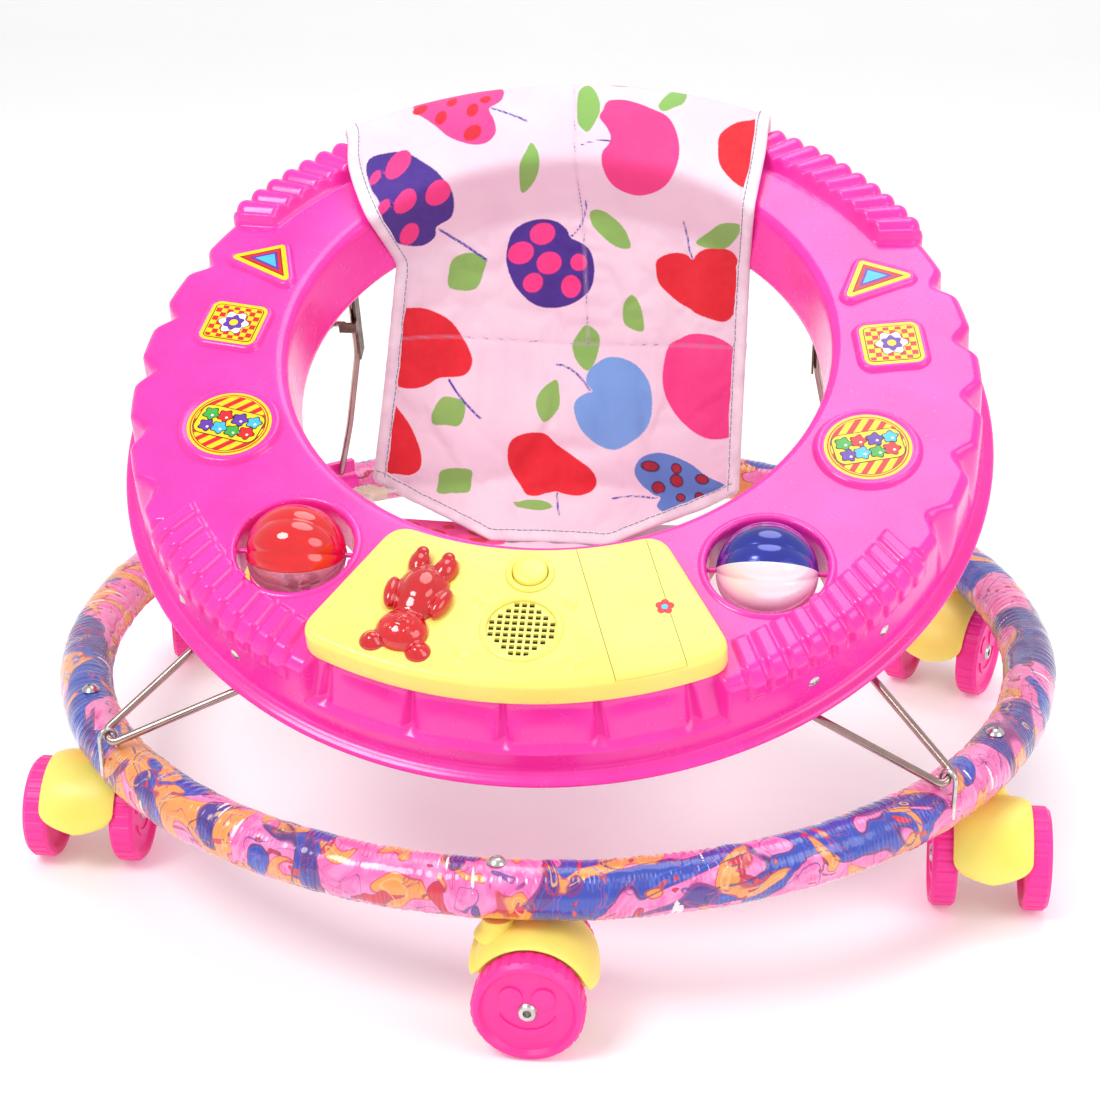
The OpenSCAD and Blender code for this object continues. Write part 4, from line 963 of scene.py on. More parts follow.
# --- caster hoods -----------------------------------------------------------------------
def hood_section(k):
    """Closed section of a hood as (across, radius): the crown, both lips, both walls and the inside."""
    crown = [(0.0, 37.3), (7.0, 37.2), (13.0, 36.8), (17.5, 36.1), (20.5, 35.2), (22.6, 34.4), (23.4, 33.8),
             (23.4, 33.3), (22.8, 33.0), (20.4, 33.0), (19.4, 32.6), (19.0, 31.4), (19.0, 8.4), (18.6, 8.0),
             (17.4, 8.0), (17.0, 8.4), (17.0, 31.0), (15.5, 32.6), (0.0, 32.9)]
    right = np.array(crown)
    left = right[-2:0:-1] * (-1, 1)
    loop = np.vstack([right, left])
    return loop * (k, 1.0)


def hood_part():
    """One hood about its swivel axis, trailing along +X: fender, neck and the bosses on the axle."""
    theta = np.r_[np.linspace(2.5, 26, 26), np.linspace(28, 144, 48), np.linspace(145, 154, 9)]
    rows = []
    for t in theta:
        k = math.sqrt(max(0.02, 1 - (max(0.0, 26.5 - t) / 24.5) ** 2))
        loop = hood_section(k)
        flare = 1.8 * float(smooth(np.array((t - 146) / 8.0)))
        a, rim = math.radians(t), loop[:, 1] > 32.5
        rad = loop[:, 1] + flare * rim - 1.2 * (1 - k) * rim
        rows.append(np.column_stack([CASTER_TRAIL + rad * math.cos(a), loop[:, 0],
                                     WHEEL_R + rad * math.sin(a)]))
    neck = lathe([(2.7, 58.0), (13.5, 59.0), (12.0, 61.6), (10.4, 63.6), (9.5, 65.8), (9.1, 68.0),
                  (9.0, 70.1), (8.7, 70.5), (2.7, 70.5), (2.7, 65.6), (6.3, 65.6), (6.3, 61.4),
                  (2.7, 61.4)], 48, closed=True)
    parts = [tube(np.stack(rows)), neck]
    lay = np.array([[1, 0, 0], [0, 0, 1], [0, 1, 0]])
    for sign in (-1, 1):
        boss = lathe([(3.1, 13.4 * sign), (9.0, 13.4 * sign), (9.0, 18.9 * sign), (8.5, 19.3 * sign),
                      (3.1, 19.3 * sign)], 40, closed=True)
        parts.append(move(boss, (CASTER_TRAIL, 0, WHEEL_R), lay))
    return parts


for name, ring_a, trail in zip(CASTERS, CASTER_ANGLES, TRAILS):
    spot = polar(RING_R, ring_a, 0)
    hood = piece(f"{name}_fender", [move(part, spot, spin_z(trail - 90)) for part in hood_part()],
                 HOOD_YELLOW, f"{name}_caster", replaces=[f"{name}_hood"], slot="yellow_plastic")
    face_out(hood.data)
    sharpen(hood, 40)


# --- wires ------------------------------------------------------------------------------
def tp(x, y, h):
    """One point of the tray's frame in the frame of the walker."""
    return tray((x, y, h))[0]


apex = polar(321, 50.3, 110.6)
along = np.array([0.56, 0.69, 0.47])
along /= np.linalg.norm(along)
strut = [tp(*polar(257.6, 51, 26)), tp(*polar(256, 49, -8)), apex + 5 * along, apex - 5 * along,
         tp(*polar(256, 37.5, -8)), tp(*polar(257.6, 39, 26))]
hinge = tp(143, 178, 25)
foot = polar(296.5, 140, 107.1)
leg_vec = np.array([0, foot[1] - hinge[1], foot[2] - hinge[2]])


def leg_pt(share, x):
    """Point at a share of the way from the rear leg's hinge to its foot."""
    return np.array([x, hinge[1] + leg_vec[1] * share, hinge[2] + leg_vec[2] * share])


leg = [hinge + (12, 0, 0), hinge, leg_pt(0.28, 166.5), leg_pt(0.52, 166.5), leg_pt(0.80, 179), foot]
slope = math.atan2(leg_vec[2], leg_vec[1])
hook = leg_pt(0.385, 0) + (0, 7.6 * math.sin(slope), -7.6 * math.cos(slope))
pivot = tp(178, 40, 15)
stay = [pivot + (12, 0, 0), pivot, np.array([180, hook[1], hook[2]]), np.array([172.4, hook[1], hook[2]])]
for sx, side in ((1, "right"), (-1, "left")):
    for word, points, radius, body, node in (
            ("strut", strut, WIRE_R, "tray", f"{side}_front_strut"),
            ("leg", leg, WIRE_R, f"{side}_leg", f"{side}_rear_leg"),
            ("stay", stay, WIRE_R - 0.4, f"{side}_stay", f"{side}_stay")):
        path = round_path(points, 7, 9) * (sx, 1, 1)
        o = piece(f"{side}_wire_{word}", [sweep(path, radius, 18)], NICKEL, body, replaces=[node],
                  slot="nickel_wire")
        face_out(o.data)


# Outlines of the printed fruit, in millimetres across and down the cloth
PRINT = {
    "heart": [
        "-120,73 -114,70 -105,70 -92,70 -78,71 -64,70 -58,79 -59,88 -64,92 -67,94 -63,104 -60,114 "
        "-64,121 -72,122 -83,117 -95,108 -108,93 -116,84",
    ],
    "purple": [
        "-144,112 -143,107 -137,107 -122,111 -109,121 -96,134 -88,149 -87,164 -90,174 -97,176 "
        "-100,178 -101,185 -108,188 -117,182 -125,171 -129,156 -131,137 -138,125",
        "-40,194 -29,193 -19,196 -12,202 -9,208 -2,211 5,217 8,227 7,240 2,248 -9,255 -21,257 -33,254 "
        "-43,245 -50,234 -54,220 -53,209 -49,199",
    ],
    "leaf": [
        "-35,127 -29,138 -30,151 -35,162 -42,168 -43,156 -42,143 -38,133",
        "-86,207 -77,209 -68,215 -69,224 -73,235 -81,236 -92,230 -93,219 -91,211",
        "-6,84 0,75 8,89 10,102 6,115 2,120 -4,113 -6,101",
        "50,92 54,82 60,70 68,70 68,84 61,91 54,96",
        "5,187 13,186 24,194 31,203 33,212 22,212 10,203 5,196",
        "80,195 89,181 98,168 111,160 110,169 102,187 92,194 86,196",
        "36,244 42,251 44,261 44,269 36,269 30,265 29,256 31,249",
        "4,269 13,276 12,290 6,301 -2,295 -6,284 -2,275",
        "-16,308 -14,317 -14,328 -24,338 -30,329 -30,320 -24,312",
        "-101,319 -96,313 -88,315 -81,319 -80,328 -84,337 -93,335 -102,333 -103,326",
        "-96,371 -86,369 -74,371 -74,379 -75,390 -86,390 -97,389 -97,379",
        "-43,400 -32,397 -20,399 -14,404 -22,407 -33,405",
    ],
    "pink": [
        "12,101 15,92 26,90 36,92 45,95 57,100 64,111 67,126 64,142 56,157 43,167 32,168 21,162 "
        "15,149 14,136 18,129 19,122 15,114 10,107",
        "62,277 70,269 81,262 95,259 106,261 112,270 114,282 114,324 108,332 95,337 83,334 70,324 "
        "61,310 59,295",
    ],
    "red": [
        "3,70 19,70 33,70 30,71 21,74 10,70",
        "78,70 91,70 104,70 98,70 89,70",
        "93,114 94,104 103,92 112,86 121,84 123,126 112,132 103,131 95,125",
        "52,224 53,216 63,209 73,207 78,209 85,199 98,190 107,189 111,198 112,211 111,227 103,244 "
        "91,247 75,245 63,240 54,233",
        "-132,236 -129,229 -117,234 -105,242 -91,256 -82,272 -76,288 -78,297 -84,300 -95,298 -100,298 "
        "-108,301 -118,300 -127,294 -133,280 -134,256",
        "-134,298 -126,314 -117,333 -110,354 -110,367 -117,372 -126,370 -134,367 -134,350 -134,321",
        "-49,355 -44,348 -33,345 -22,347 -13,355 0,363 12,371 15,380 11,388 2,392 -8,391 -14,389 "
        "-24,393 -33,392 -39,384 -48,369",
    ],
    "red_dots": [
        "-114,81,5,5 -93,81,3,5 -78,93,4,6 -99,94,4,6 -76,112,6,6 -70,85,4,3",
    ],
    "pink_dots": [
        "-123,118,8,8 -96,149,8,10 -116,144,7,8 -116,172,6,9 -137,119,2,2 -129,139,4,4 -29,204,9,8 "
        "-44,216,9,8 -24,225,9,8 -35,238,7,7 -3,225,6,6 -8,242,7,8",
    ],
    "stem": [
        "-67,93 -55,100 -39,110",
        "-98,180 -85,198 -67,217",
        "-9,207 -1,196 2,177",
        "19,126 8,127 -1,131",
        "78,209 74,195 71,181",
        "-92,300 -81,319 -68,334",
        "8,315 -4,302 -17,297",
        "-12,390 -11,400 -9,410",
        "59,388 42,388 27,393",
    ],
    "sky": [
        "14,294 22,290 34,291 43,296 51,307 53,323 50,337 40,348 28,355 16,353 4,344 -2,332 -2,323 "
        "5,317 10,315 5,309 7,300",
    ],
    "blue": [
        "42,369 46,359 57,354 68,354 82,358 93,365 106,370 106,378 94,389 78,399 67,401 59,396 61,388 "
        "56,385 47,378",
    ],
    "dark_dots": [
        "53,364,7,4 72,363,4,4 72,372,5,5 59,379,5,5 90,368,5,4 75,385,3,4 88,382,3,4",
    ],
}


# --- seat cloth -------------------------------------------------------------------------
BANK = 62.0
STATIONS = [0, 1, 2, 3, 3.35, 4, 5, 6.5, 8, 9]
CENTRE = [-19, -19, -19, -17, -16, -9, -4, -9, -14, -14]
HALF = [145, 145, 145, 142, 140, 127, 120, 124, 128, 128]
LENGTHS = [(0, 0), (12, 1), (68.1, 2), (81.6, 3), (103.8, 3.35), (140.9, 4), (192.6, 5), (254.1, 6),
           (317.2, 7), (382.1, 8), (412.7, 9), (443.3, 10)]
SEAM_S = 282.0


def rim_pt(x, r, h):
    """Points on the rear of the tray, at radius r from its middle."""
    return tray(np.stack([x, np.sqrt(np.maximum(0, r * r - x * x)), h + 0 * x], -1))


def hole_pt(x, h):
    """Points on the rear wall of the seat hole."""
    return tray(np.stack([x, HOLE_Y + np.sqrt(169.6 ** 2 - x * x), h + 0 * x], -1))


def back_surface(u, s):
    """Middle of the backrest's cloth at share u of its half width and length s down it."""
    t = np.interp(s, *np.array(LENGTHS).T)
    x = np.interp(t, STATIONS, CENTRE) + u * np.interp(t, STATIONS, HALF)
    wing = ((x + 13) / 128) ** 2
    low = np.stack([x, 121 - 14 * wing, 148 - 3 * wing], -1)
    k = np.clip((t - 5) / 3, 0, 1)[:, None]
    hang = hole_pt(x, 2.0) * (1 - k) + low * k
    hang[:, 1] += 6 * np.sin(math.pi * k[:, 0])
    below = np.clip(t - 8, 0, 2)
    hang[:, 2] -= 16 * below
    hang[:, 1] -= 26 * below
    marks = [rim_pt(x, 278.2, -6), rim_pt(x, 278.2, 6), rim_pt(x, 275.5, BANK), rim_pt(x, 262, BANK + 5),
             rim_pt(x, 240, BANK + 2), hole_pt(x, 54.0), hole_pt(x, 2.0)]
    at = [0, 1, 2, 3, 3.35, 4, 5]
    p = hang.copy()
    for k, (lo, hi) in enumerate(zip(at, at[1:])):
        m = (t >= lo) & (t <= hi)
        w = ((t - lo) / (hi - lo))[:, None]
        p[m] = (marks[k] * (1 - w) + marks[k + 1] * w)[m]
    return x, p


def relax(p, rounds):
    """Softens the bends along the rows of a grid of points, and keeps its first and last rows."""
    for _ in range(rounds):
        p[1:-1] = p[1:-1] * 0.5 + (p[:-2] + p[2:]) * 0.25
    return p


def normals(p):
    """Normals of a grid of points, towards the printed side of the cloth."""
    du, ds = np.gradient(p, axis=1), np.gradient(p, axis=0)
    n = np.cross(ds, du)
    return n / np.linalg.norm(n, axis=2)[..., None]


def slab(p, thick):
    """Closed slab round a grid of points: the front layer, the back layer, and its four edges."""
    rows, cols = p.shape[:2]
    n = normals(p)
    both = np.concatenate([(p + n * thick / 2).reshape(-1, 3), (p - n * thick / 2).reshape(-1, 3)])
    q = grid(rows, cols)
    m = rows * cols
    loop = np.r_[np.arange(cols), np.arange(1, rows) * cols + cols - 1,
                 (rows - 1) * cols + np.arange(cols - 2, -1, -1), np.arange(rows - 2, 0, -1) * cols]
    nxt = np.roll(loop, -1)
    return both, np.concatenate([q, q[:, ::-1] + m, np.stack([loop, loop + m, nxt + m, nxt], -1)])


def ridge(x, s, a, b, height, width):
    """Soft fold along the line from a to b, in millimetres of cloth."""
    a, b = np.array(a, float), np.array(b, float)
    d = b - a
    t = np.clip(((x - a[0]) * d[0] + (s - a[1]) * d[1]) / d.dot(d), 0, 1)
    gap = np.hypot(x - a[0] - t * d[0], s - a[1] - t * d[1])
    return height * np.exp(-(gap / width) ** 2) * np.sin(math.pi * np.clip(t, 0.04, 0.96)) ** 0.5


# Soft folds of the backrest: from, to, height and width, in millimetres of cloth
FOLDS = [((-30, 84), (-66, 168), 2.0, 9), ((18, 92), (52, 146), -1.6, 8),
         ((92, 150), (84, 300), 2.6, 11), ((66, 190), (70, 330), -1.8, 10),
         ((-124, 290), (-58, 384), 1.8, 8), ((-6, 180), (40, 250), 1.4, 8),
         ((-70, 230), (-120, 360), -1.6, 10), ((20, 300), (58, 392), 1.5, 9),
         ((-100, 88), (-128, 150), 1.6, 7), ((-20, 340), (-60, 396), -1.3, 8),
         ((80, 96), (104, 150), 1.7, 7), ((-50, 160), (-30, 268), 1.2, 9)]


def seam_x(s):
    """Where the upright quilting seam lies at length s."""
    return -10 + 0.07 * (s - 64)


def gather(x, s):
    """How near a point is to the quilting seams, 1 on them, and the pucker beside them."""
    up = np.abs(x - seam_x(s)) + 60 * np.clip((s - SEAM_S) / 6, 0, 1)
    across = np.abs(s - (SEAM_S - 0.0017 * x * x))
    near = np.minimum(up, across)
    pucker = np.where(up < across, np.sin(s * 2 * math.pi / 13 + 1.4 * np.sin(s / 17)),
                      np.sin(x * 2 * math.pi / 12 + 1.6 * np.sin(x / 19)))
    return np.exp(-(near / 2.4) ** 2), pucker * np.exp(-(near / 9.0) ** 2)


N_U = 73
u_row = np.linspace(-1, 1, N_U)
n_s = 100
share = np.linspace(0, 1, n_s)[:, None]
edge_dist = (1 - np.abs(u_row)) * 128
bottom = 376 + np.minimum(54, 0.62 * edge_dist) - 3.0 * np.exp(-(edge_dist / 14) ** 2)
S_FLAT = share * bottom[None, :]
U_FLAT = np.tile(u_row, (n_s, 1))
X_FLAT, BACK = back_surface(U_FLAT.ravel(), S_FLAT.ravel())
X_FLAT = X_FLAT.reshape(n_s, N_U)
BACK = relax(BACK.reshape(n_s, N_U, 3), 2)


def front_surface(u, v):
    """Middle of the seat's bottom cloth, from the backrest forward to the front wall of the tray."""
    waist = 126 + (78 - 126) * smooth(v * 1.5) + 34 * smooth((v - 0.55) / 0.45)
    x = u * waist - 12 * (1 - v)
    y0 = 113 - 14 * (x / 122) ** 2
    wall = tray(np.stack([x, HOLE_Y - np.sqrt(168.2 ** 2 - x * x), 14 + 0 * x], -1))
    y = y0 * (1 - v) + wall[:, 1] * v
    z = 120 + (wall[:, 2] - 120) * smooth((v - 0.3) / 0.7) - 10 * np.sin(math.pi * v) + 9 * u * u * (1 - v)
    z += 1.6 * np.sin(7 * u + 9 * v) * np.sin(math.pi * v) + 1.2 * np.sin(17 * v + 3 * u)
    return np.stack([x, y, z], -1)


N_FU, N_FV = 41, 70
fu, fv = np.meshgrid(np.linspace(-1, 1, N_FU), np.linspace(0, 0.985, N_FV))
FRONT = front_surface(fu.ravel(), fv.ravel()).reshape(N_FV, N_FU, 3)
FRONT_X, FRONT_S = fu * 104 + 30, fv * 300 + 30


def cloth_object(name, p, thick, held):
    """Quilted slab ready to be inflated, held by the weights given."""
    verts, faces = slab(p, thick)
    mesh = bpy.data.meshes.new(name)
    mesh.from_pydata((verts * MM).tolist(), [], faces.tolist())
    face_out(mesh)
    o = bpy.data.objects.new(name, mesh)
    scene.collection.objects.link(o)
    group = o.vertex_groups.new(name="pin")
    for side in range(2):
        for k, w in enumerate(held.ravel()):
            if w > 0.02:
                group.add([k + side * held.size], float(w), "REPLACE")
    m = modifier(o, "CLOTH")
    cfg = m.settings
    cfg.quality, cfg.mass, cfg.air_damping = 6, 0.25, 2.0
    cfg.tension_stiffness, cfg.compression_stiffness = 22, 22
    cfg.shear_stiffness, cfg.bending_stiffness = 8, 0.6
    cfg.use_pressure, cfg.uniform_pressure_force = True, 3.2
    cfg.vertex_group_mass = "pin"
    cfg.effector_weights.gravity = 0
    cfg.shrink_min = -0.012
    m.collision_settings.use_collision = False
    m.point_cache.frame_start, m.point_cache.frame_end = 1, 24
    return o


def simulate(sims, frames=18, cap=6.0):
    """Inflates the quilted slabs and returns their points; no point moves further than cap."""
    rest = [np.array([v.co for v in o.data.vertices]) * 1000 for o in sims]
    for f in range(1, frames + 1):
        scene.frame_set(f)
    graph = bpy.context.evaluated_depsgraph_get()
    out = []
    for o, r0 in zip(sims, rest):
        done = o.evaluated_get(graph).to_mesh()
        p = np.array([v.co for v in done.vertices]) * 1000
        step = p - r0
        far = np.linalg.norm(step, axis=1)[:, None]
        out.append(r0 + step * np.minimum(1, cap / np.maximum(far, 1e-9)))
        bpy.data.objects.remove(o)
    scene.frame_set(1)
    return out


near_seam, pucker = gather(X_FLAT, S_FLAT)
edge_w = np.clip(1 - edge_dist / 9, 0, 1)[None, :] + 0 * S_FLAT
on_tray = smooth((206 - S_FLAT) / 16)
held = np.clip(np.maximum.reduce([edge_w, on_tray, near_seam * 0.9, (share > 0.985) + 0 * S_FLAT]), 0, 1)
folds = sum(ridge(X_FLAT, S_FLAT, *f) for f in FOLDS)
free = smooth((S_FLAT - 66) / 20) * (0.35 + 0.65 * (1 - on_tray)) * np.clip(edge_dist / 12, 0.15, 1)[None, :]
BACK = BACK + normals(BACK) * (folds * free + 0.7 * pucker * free)[..., None]
f_held = np.clip(np.maximum((1 - (1 - np.abs(fu)) * 6), np.maximum(1 - fv * 12, 1 - (0.985 - fv) * 9)), 0, 1)
sims = [cloth_object("sim_back", BACK, 1.8, held), cloth_object("sim_front", FRONT, 1.6, f_held)]
back_pts, front_pts = simulate(sims)


def finer(p, times):
    """Catmull-Rom refinement of a grid of points along both of its directions."""
    for ax in (0, 1):
        p = np.moveaxis(p, ax, 0)
        padded = np.concatenate([2 * p[:1] - p[1:2], p, 2 * p[-1:] - p[-2:-1]])
        rows = []
        for k in range(len(p) - 1):
            a, b, c, d = padded[k:k + 4]
            for j in range(times):
                t = j / times
                rows.append(0.5 * (2 * b + (c - a) * t + (2 * a - 5 * b + 4 * c - d) * t * t +
                                   (3 * b - a - 3 * c + d) * t ** 3))
        rows.append(p[-1])
        p = np.moveaxis(np.array(rows), 0, ax)
    return p


def outline(text):
    """Smooth closed outline through the points written in text."""
    p = np.array([[float(v) for v in q.split(",")] for q in text.split()])
    loop = []
    for k in range(len(p)):
        a, b, c, d = p[k - 1], p[k], p[(k + 1) % len(p)], p[(k + 2) % len(p)]
        for t in np.linspace(0, 1, 5)[:-1]:
            loop.append(0.5 * (2 * b + (c - a) * t + (2 * a - 5 * b + 4 * c - d) * t * t +
                               (3 * b - a - 3 * c + d) * t ** 3))
    return np.array(loop)


def inside_distance(xy, loop):
    """Signed distance to a closed outline, negative inside."""
    a, b = loop, np.roll(loop, -1, 0)
    best = np.full(len(xy), 1e9)
    odd = np.zeros(len(xy), bool)
    for p, q in zip(a, b):
        d = q - p
        t = np.clip(((xy - p) @ d) / max(d.dot(d), 1e-9), 0, 1)
        best = np.minimum(best, np.hypot(*(xy - p - t[:, None] * d).T))
        crosses = (p[1] > xy[:, 1]) != (q[1] > xy[:, 1])
        with np.errstate(divide="ignore", invalid="ignore"):
            at = p[0] + (xy[:, 1] - p[1]) * d[0] / d[1]
        odd ^= crosses & (xy[:, 0] < at)
    return np.where(odd, -best, best)


def print_fields(x, s, shift=(0, 0)):
    """Signed distance to each colour of the print at points of the cloth."""
    # behind the top of the rim the print runs on as a mirror of what lies in front of it
    over_rim = np.abs(s.ravel() + shift[1] - 68) + 68
    xy = np.column_stack([x.ravel() + shift[0], over_rim])
    fields = {}
    for key, shapes in PRINT.items():
        best = np.full(len(xy), 50.0)
        for text in shapes:
            if key.endswith("dots"):
                for q in text.split():
                    cx, cy, rx, ry = [float(v) for v in q.split(",")]
                    rx, ry = max(rx, 3.6), max(ry, 3.6)
                    d = (np.hypot((xy[:, 0] - cx) / rx, (xy[:, 1] - cy) / ry) - 1) * min(rx, ry)
                    best = np.minimum(best, d)
            elif key == "stem":
                p = np.array([[float(v) for v in q.split(",")] for q in text.split()])
                t = np.linspace(0, 1, 12)[:, None]
                p = (1 - t) ** 2 * p[0] + 2 * t * (1 - t) * (2 * p[1] - (p[0] + p[2]) / 2) + t * t * p[2]
                for a, b in zip(p, p[1:]):
                    w = np.clip(((xy - a) @ (b - a)) / (b - a).dot(b - a), 0, 1)
                    best = np.minimum(best, np.hypot(*(xy - a - w[:, None] * (b - a)).T) - 0.75)
            else:
                best = np.minimum(best, inside_distance(xy, outline(text)))
        fields[key] = best
    near = np.minimum(np.abs(xy[:, 0] - seam_x(xy[:, 1])) + 60 * (xy[:, 1] > SEAM_S),
                      np.abs(xy[:, 1] - SEAM_S + 0.0017 * xy[:, 0] ** 2))
    fields["seam"] = near if shift == (0, 0) else np.full(len(xy), 50.0)
    return fields


cloth = Look("printed cotton")
tone = cloth.noise(22, 3.0)
color = cloth.mix(cloth.span(tone, 0.3, 0.7, 0, 1), rgb("#FBE3EE"), rgb("#F6D6E6"))
flat = cloth.attribute("flat").outputs["Vector"]
ink = cloth.span(cloth.noise(0.9, 3.0, flat), 0.25, 0.75, -0.28, 0.28)
for key, code, other in (("heart", "#FF4E9E", "#F83F92"), ("purple", "#4B2A96", "#40228A"),
                         ("pink", "#FF4493", "#F7388A"), ("red", "#EE1C2C", "#E01424"),
                         ("sky", "#7FAEEC", "#74A2E2"), ("blue", "#6A8ED8", "#6084CC"),
                         ("leaf", "#93C463", "#86B858"), ("pink_dots", "#FF3C8E", "#F73486"),
                         ("red_dots", "#E61D34", "#DA162C"), ("dark_dots", "#3A1640", "#3A1640"),
                         ("dots_core", "#B81C34", "#AE162E"), ("stem", "#4A3FB4", "#4238A6")):
    if key == "dots_core":
        field = cloth.math("ADD", cloth.attribute("dark_dots").outputs["Fac"], 0.9)
    else:
        field = cloth.attribute(key).outputs["Fac"]
    mask = cloth.span(cloth.math("ADD", field, ink), -0.35, 0.35, 1, 0)
    patch = cloth.mix(cloth.span(tone, 0.3, 0.7, 0, 1), rgb(code), rgb(other))
    color = cloth.mix(mask, color, patch)
seam_field = cloth.attribute("seam").outputs["Fac"]
diagonal = cloth.math("ADD", cloth.axis(0, flat), cloth.axis(1, flat))
dash_s = cloth.math("SINE", cloth.math("MULTIPLY", diagonal, 1.6))
dash = cloth.math("MULTIPLY", cloth.math("LESS_THAN", seam_field, 0.5),
                  cloth.math("GREATER_THAN", dash_s, -0.5))
color = cloth.mix(dash, color, rgb("#7C86A8"))
# painted shade: a greyer band along the quilting seam, where the cloth is pulled into a groove
color = cloth.mix(cloth.span(seam_field, 0.0, 2.2, 0.35, 0.0), color, rgb("#D9B2C8"))
warp = cloth.math("SINE", cloth.math("MULTIPLY", cloth.axis(0, flat), 9.6))
weft = cloth.math("SINE", cloth.math("MULTIPLY", cloth.axis(1, flat), 9.6))
weave = cloth.math("MULTIPLY", warp, weft)
# painted shade: the weave's low points, where its bump dips, are darkened
color = cloth.mix(cloth.span(weave, -1, 1, 0.09, 0.0), color, (0.30, 0.16, 0.24, 1))
creases = cloth.bump(cloth.noise(75, 4.0, rough=0.6), 0.4, 0.0009)
cloth.set(Base_Color=color, Roughness=cloth.span(cloth.noise(180, 2.0), 0.3, 0.7, 0.78, 0.92),
          Normal=cloth.bump(weave, 0.45, 0.00018, creases), Sheen_Weight=0.08, Sheen_Roughness=0.5)


def cloth_piece(name, pts, shape, times, flat_x, flat_s, node, shift=(0, 0)):
    """Piece of printed cloth from the inflated slab's points, with the print as attributes."""
    rows, cols = shape
    half = rows * cols
    front = finer(pts[:half].reshape(rows, cols, 3), times)
    back = finer(pts[half:].reshape(rows, cols, 3), times)
    fine_x = finer(flat_x[..., None], times)[..., 0]
    fine_s = finer(flat_s[..., None], times)[..., 0]
    n = normals(front)
    if shift == (0, 0):
        at_seam, side = gather(fine_x, fine_s)
        front = front - n * (1.0 * at_seam * smooth((fine_s - 66) / 15))[..., None]
    verts = np.concatenate([front.reshape(-1, 3), back.reshape(-1, 3)])
    r, c = front.shape[:2]
    q = grid(r, c)
    m = r * c
    loop = np.r_[np.arange(c), np.arange(1, r) * c + c - 1, (r - 1) * c + np.arange(c - 2, -1, -1),
                 np.arange(r - 2, 0, -1) * c]
    nxt = np.roll(loop, -1)
    faces = np.concatenate([q, q[:, ::-1] + m, np.stack([loop, loop + m, nxt + m, nxt], -1)])
    o = piece(name, [(verts, faces)], cloth.mat, "tray", replaces=[node], slot="seat_cloth")
    face_out(o.data)
    flat_xy = np.zeros((2 * m, 3), np.float32)
    flat_xy[:m, 0] = flat_xy[m:, 0] = fine_x.ravel()
    flat_xy[:m, 1] = flat_xy[m:, 1] = fine_s.ravel()
    o.data.attributes.new("flat", "FLOAT_VECTOR", "POINT").data.foreach_set("vector", flat_xy.ravel())
    for key, value in print_fields(fine_x, fine_s, shift).items():
        both = np.full(2 * m, 50.0, np.float32)
        both[:m] = value
        o.data.attributes.new(key, "FLOAT", "POINT").data.foreach_set("value", both)
    return o, front, back


backrest, back_front, back_rear = cloth_piece("seat_backrest", back_pts, (n_s, N_U), 2, X_FLAT, S_FLAT,
                                              "seat_back")
bottom_cloth, low_front, low_rear = cloth_piece("seat_bottom", front_pts, (N_FV, N_FU), 2, FRONT_X, FRONT_S,
                                                "seat_front", (-60, 40))

binding_look = Look("binding tape")
tape_tone = binding_look.noise(60, 3.0)
binding_look.set(
    Base_Color=binding_look.mix(binding_look.span(tape_tone, 0.3, 0.7, 0, 1), rgb("#F6E9EF"), rgb("#E6CFDB")),
    Roughness=binding_look.span(binding_look.noise(200, 2.0), 0.3, 0.7, 0.75, 0.9),
    Normal=binding_look.bump(binding_look.noise(900, 2.0), 0.5, 0.0003,
                             binding_look.bump(binding_look.noise(90, 3.0), 0.5, 0.0008)),
    Sheen_Weight=0.2)
THREAD = solid_look("seam thread", "#8D93AE", "#747A98", rough=(0.6, 0.8), cloud=400)


def edge_tape(edge, inward, normal, width=8.6, thick=1.7):
    """Folded tape over an edge: its section runs round the edge from the front to the back."""
    section = [(width, thick - 0.5), (width - 0.3, thick + 0.2), (width * 0.75, thick + 0.05),
               (width * 0.5, thick + 0.45), (width * 0.2, thick + 0.4), (-0.6, thick * 0.8), (-1.2, 0),
               (-0.6, -thick * 0.8), (width * 0.2, -thick - 0.4), (width * 0.5, -thick - 0.45),
               (width - 0.3, -thick - 0.2), (width, -thick + 0.5)]
    along_edge = np.r_[0, np.cumsum(np.linalg.norm(np.diff(edge, axis=0), axis=1))]
    wobble = 0.35 * np.sin(along_edge / 5.3) + 0.3 * np.sin(along_edge / 11.7 + 1)
    rows = []
    for (i, n) in section:
        stretch = (i + wobble * (i > 3))[:, None]
        rows.append(edge + inward * stretch + normal * n)
    stitch = edge + inward * (width - 1.6) + normal * (thick + 0.3)
    return tube(np.stack(rows, 1)), stitch


def stitches(line, pitch=4.2, gap=0.32, radius=0.3):
    """Short raised threads along a line."""
    d = np.r_[0, np.cumsum(np.linalg.norm(np.diff(line, axis=0), axis=1))]
    parts = []
    for k in range(int(d[-1] / pitch)):
        t = np.linspace(k * pitch, (k + 1 - gap) * pitch, 4)
        p = np.column_stack([np.interp(t, d, line[:, j]) for j in range(3)])
        parts.append(sweep(p, radius, 6))
    return parts


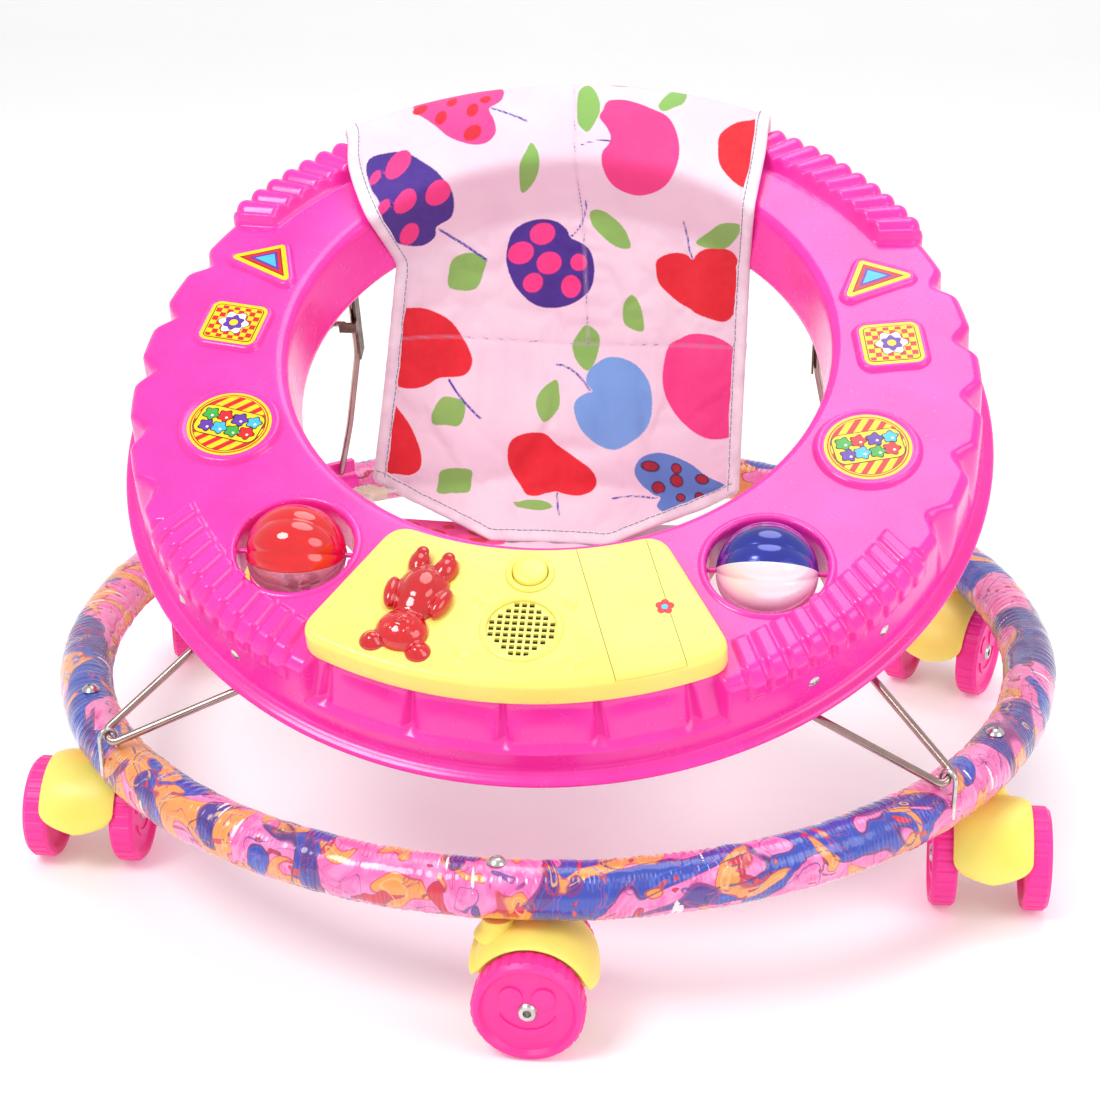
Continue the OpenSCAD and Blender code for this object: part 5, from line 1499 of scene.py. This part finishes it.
tapes, threads = [], []
for front, rear, name in ((back_front, back_rear, "back"), (low_front, low_rear, "low")):
    middle = (front + rear) / 2
    n = normals(middle)
    for col, step in ((0, 1), (-1, -1)):
        inward = unit(middle[:, col + 6 * step] - middle[:, col])
        part, line = edge_tape(middle[:, col] - inward * 0.4, inward, n[:, col + 3 * step])
        tapes.append(part)
        threads += stitches(line[34 if name == "back" else 0:])
    if name == "back":
        inward = unit(middle[-7] - middle[-1])
        part, line = edge_tape(middle[-1] - inward * 0.4, inward, n[-4])
        tapes.append(part)
        threads += stitches(line)
binding = piece("seat_tape", tapes, binding_look.mat, "tray", replaces=["seat_binding"], slot="binding")
face_out(binding.data)
thread_piece = piece("seat_thread", threads, THREAD, "tray", slot="binding")
WEBBING = Look("cotton webbing")
web_tone = WEBBING.noise(240, 3.0)
ribbing = WEBBING.math("SINE", WEBBING.math("MULTIPLY", WEBBING.axis(1), 3600.0))
WEBBING.set(Base_Color=WEBBING.mix(WEBBING.span(web_tone, 0.3, 0.7, 0, 1), rgb("#F4F0EA"), rgb("#E4DED6")),
            Roughness=WEBBING.span(WEBBING.noise(300, 2.0), 0.3, 0.7, 0.75, 0.9),
            Normal=WEBBING.bump(ribbing, 0.4, 0.0003, WEBBING.bump(WEBBING.noise(1200, 2.0), 0.4, 0.0002)))
buckle_at = np.array([-141.0, 88.0, 150.0])
buckle_dir = np.array([-0.46, -0.86, 0.2]) / np.linalg.norm([-0.46, -0.86, 0.2])
strap_spots = np.array([[-129, 110.6, 144.4], buckle_at - 9 * buckle_dir, buckle_at + 9 * buckle_dir,
                        [-139, 62, 151], [-120, 45, 146]])
strap_d = np.r_[0, np.cumsum(np.linalg.norm(np.diff(strap_spots, axis=0), axis=1))]
fine_d = np.linspace(0, strap_d[-1], 60)
strap_path = np.column_stack([np.interp(fine_d, strap_d, strap_spots[:, k]) for k in range(3)])
strap_path = relax(strap_path, 30)
strap_run = np.gradient(strap_path, axis=0)
across = unit(np.cross(strap_run, [0, 0, 1.0]))
lift = unit(np.cross(across, strap_run))
strap_rows = []
for w, n in ((-6.5, 0), (-6.2, 0.6), (-5.6, 0.75), (-5.0, 0.6), (5.0, 0.6), (5.6, 0.75), (6.2, 0.6), (6.5, 0),
             (6.2, -0.6), (5.0, -0.6), (-5.0, -0.6), (-6.2, -0.6)):
    ripple = 0.15 * np.sin(fine_d / 2.1 + w)[:, None]
    strap_rows.append(strap_path + across * w + lift * (n + ripple))
strap = piece("seat_strap_webbing", [tube(np.stack(strap_rows, 1))], WEBBING.mat, "tray",
              replaces=["seat_strap"], slot="webbing")
face_out(strap.data)
wide = np.cross(buckle_dir, [0, 0, 1.0])
wide /= np.linalg.norm(wide)
facing = np.cross(wide, buckle_dir)
frame_axes = np.column_stack([buckle_dir, wide, facing])
plate = stacked(lambda i: rounded([(-8, -6), (8, -6), (8, 6), (-8, 6)], 2.8 - i, 6),
                [(0.9, -2.7), (0.3, -2.5), (0.0, -1.9), (0.0, 1.9), (0.3, 2.5), (0.9, 2.7)])
bars = [sweep([(q, -7.2, z), (q, 7.2, z)], 1.15, 12) for q in (-7, -2.4, 2.4, 7) for z in (-2.7, 2.7)]
buckle_piece = piece("strap_slider", [move(part, buckle_at, frame_axes) for part in [plate] + bars], IVORY,
                     "tray", replaces=["strap_buckle"], slot="ivory_plastic")
face_out(buckle_piece.data)
sharpen(buckle_piece, 35)
soft_pieces = [backrest, bottom_cloth, binding, thread_piece, strap, buckle_piece]
for o in soft_pieces:
    tuple(tp(0, 205, 58) * MM)
    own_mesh(o)
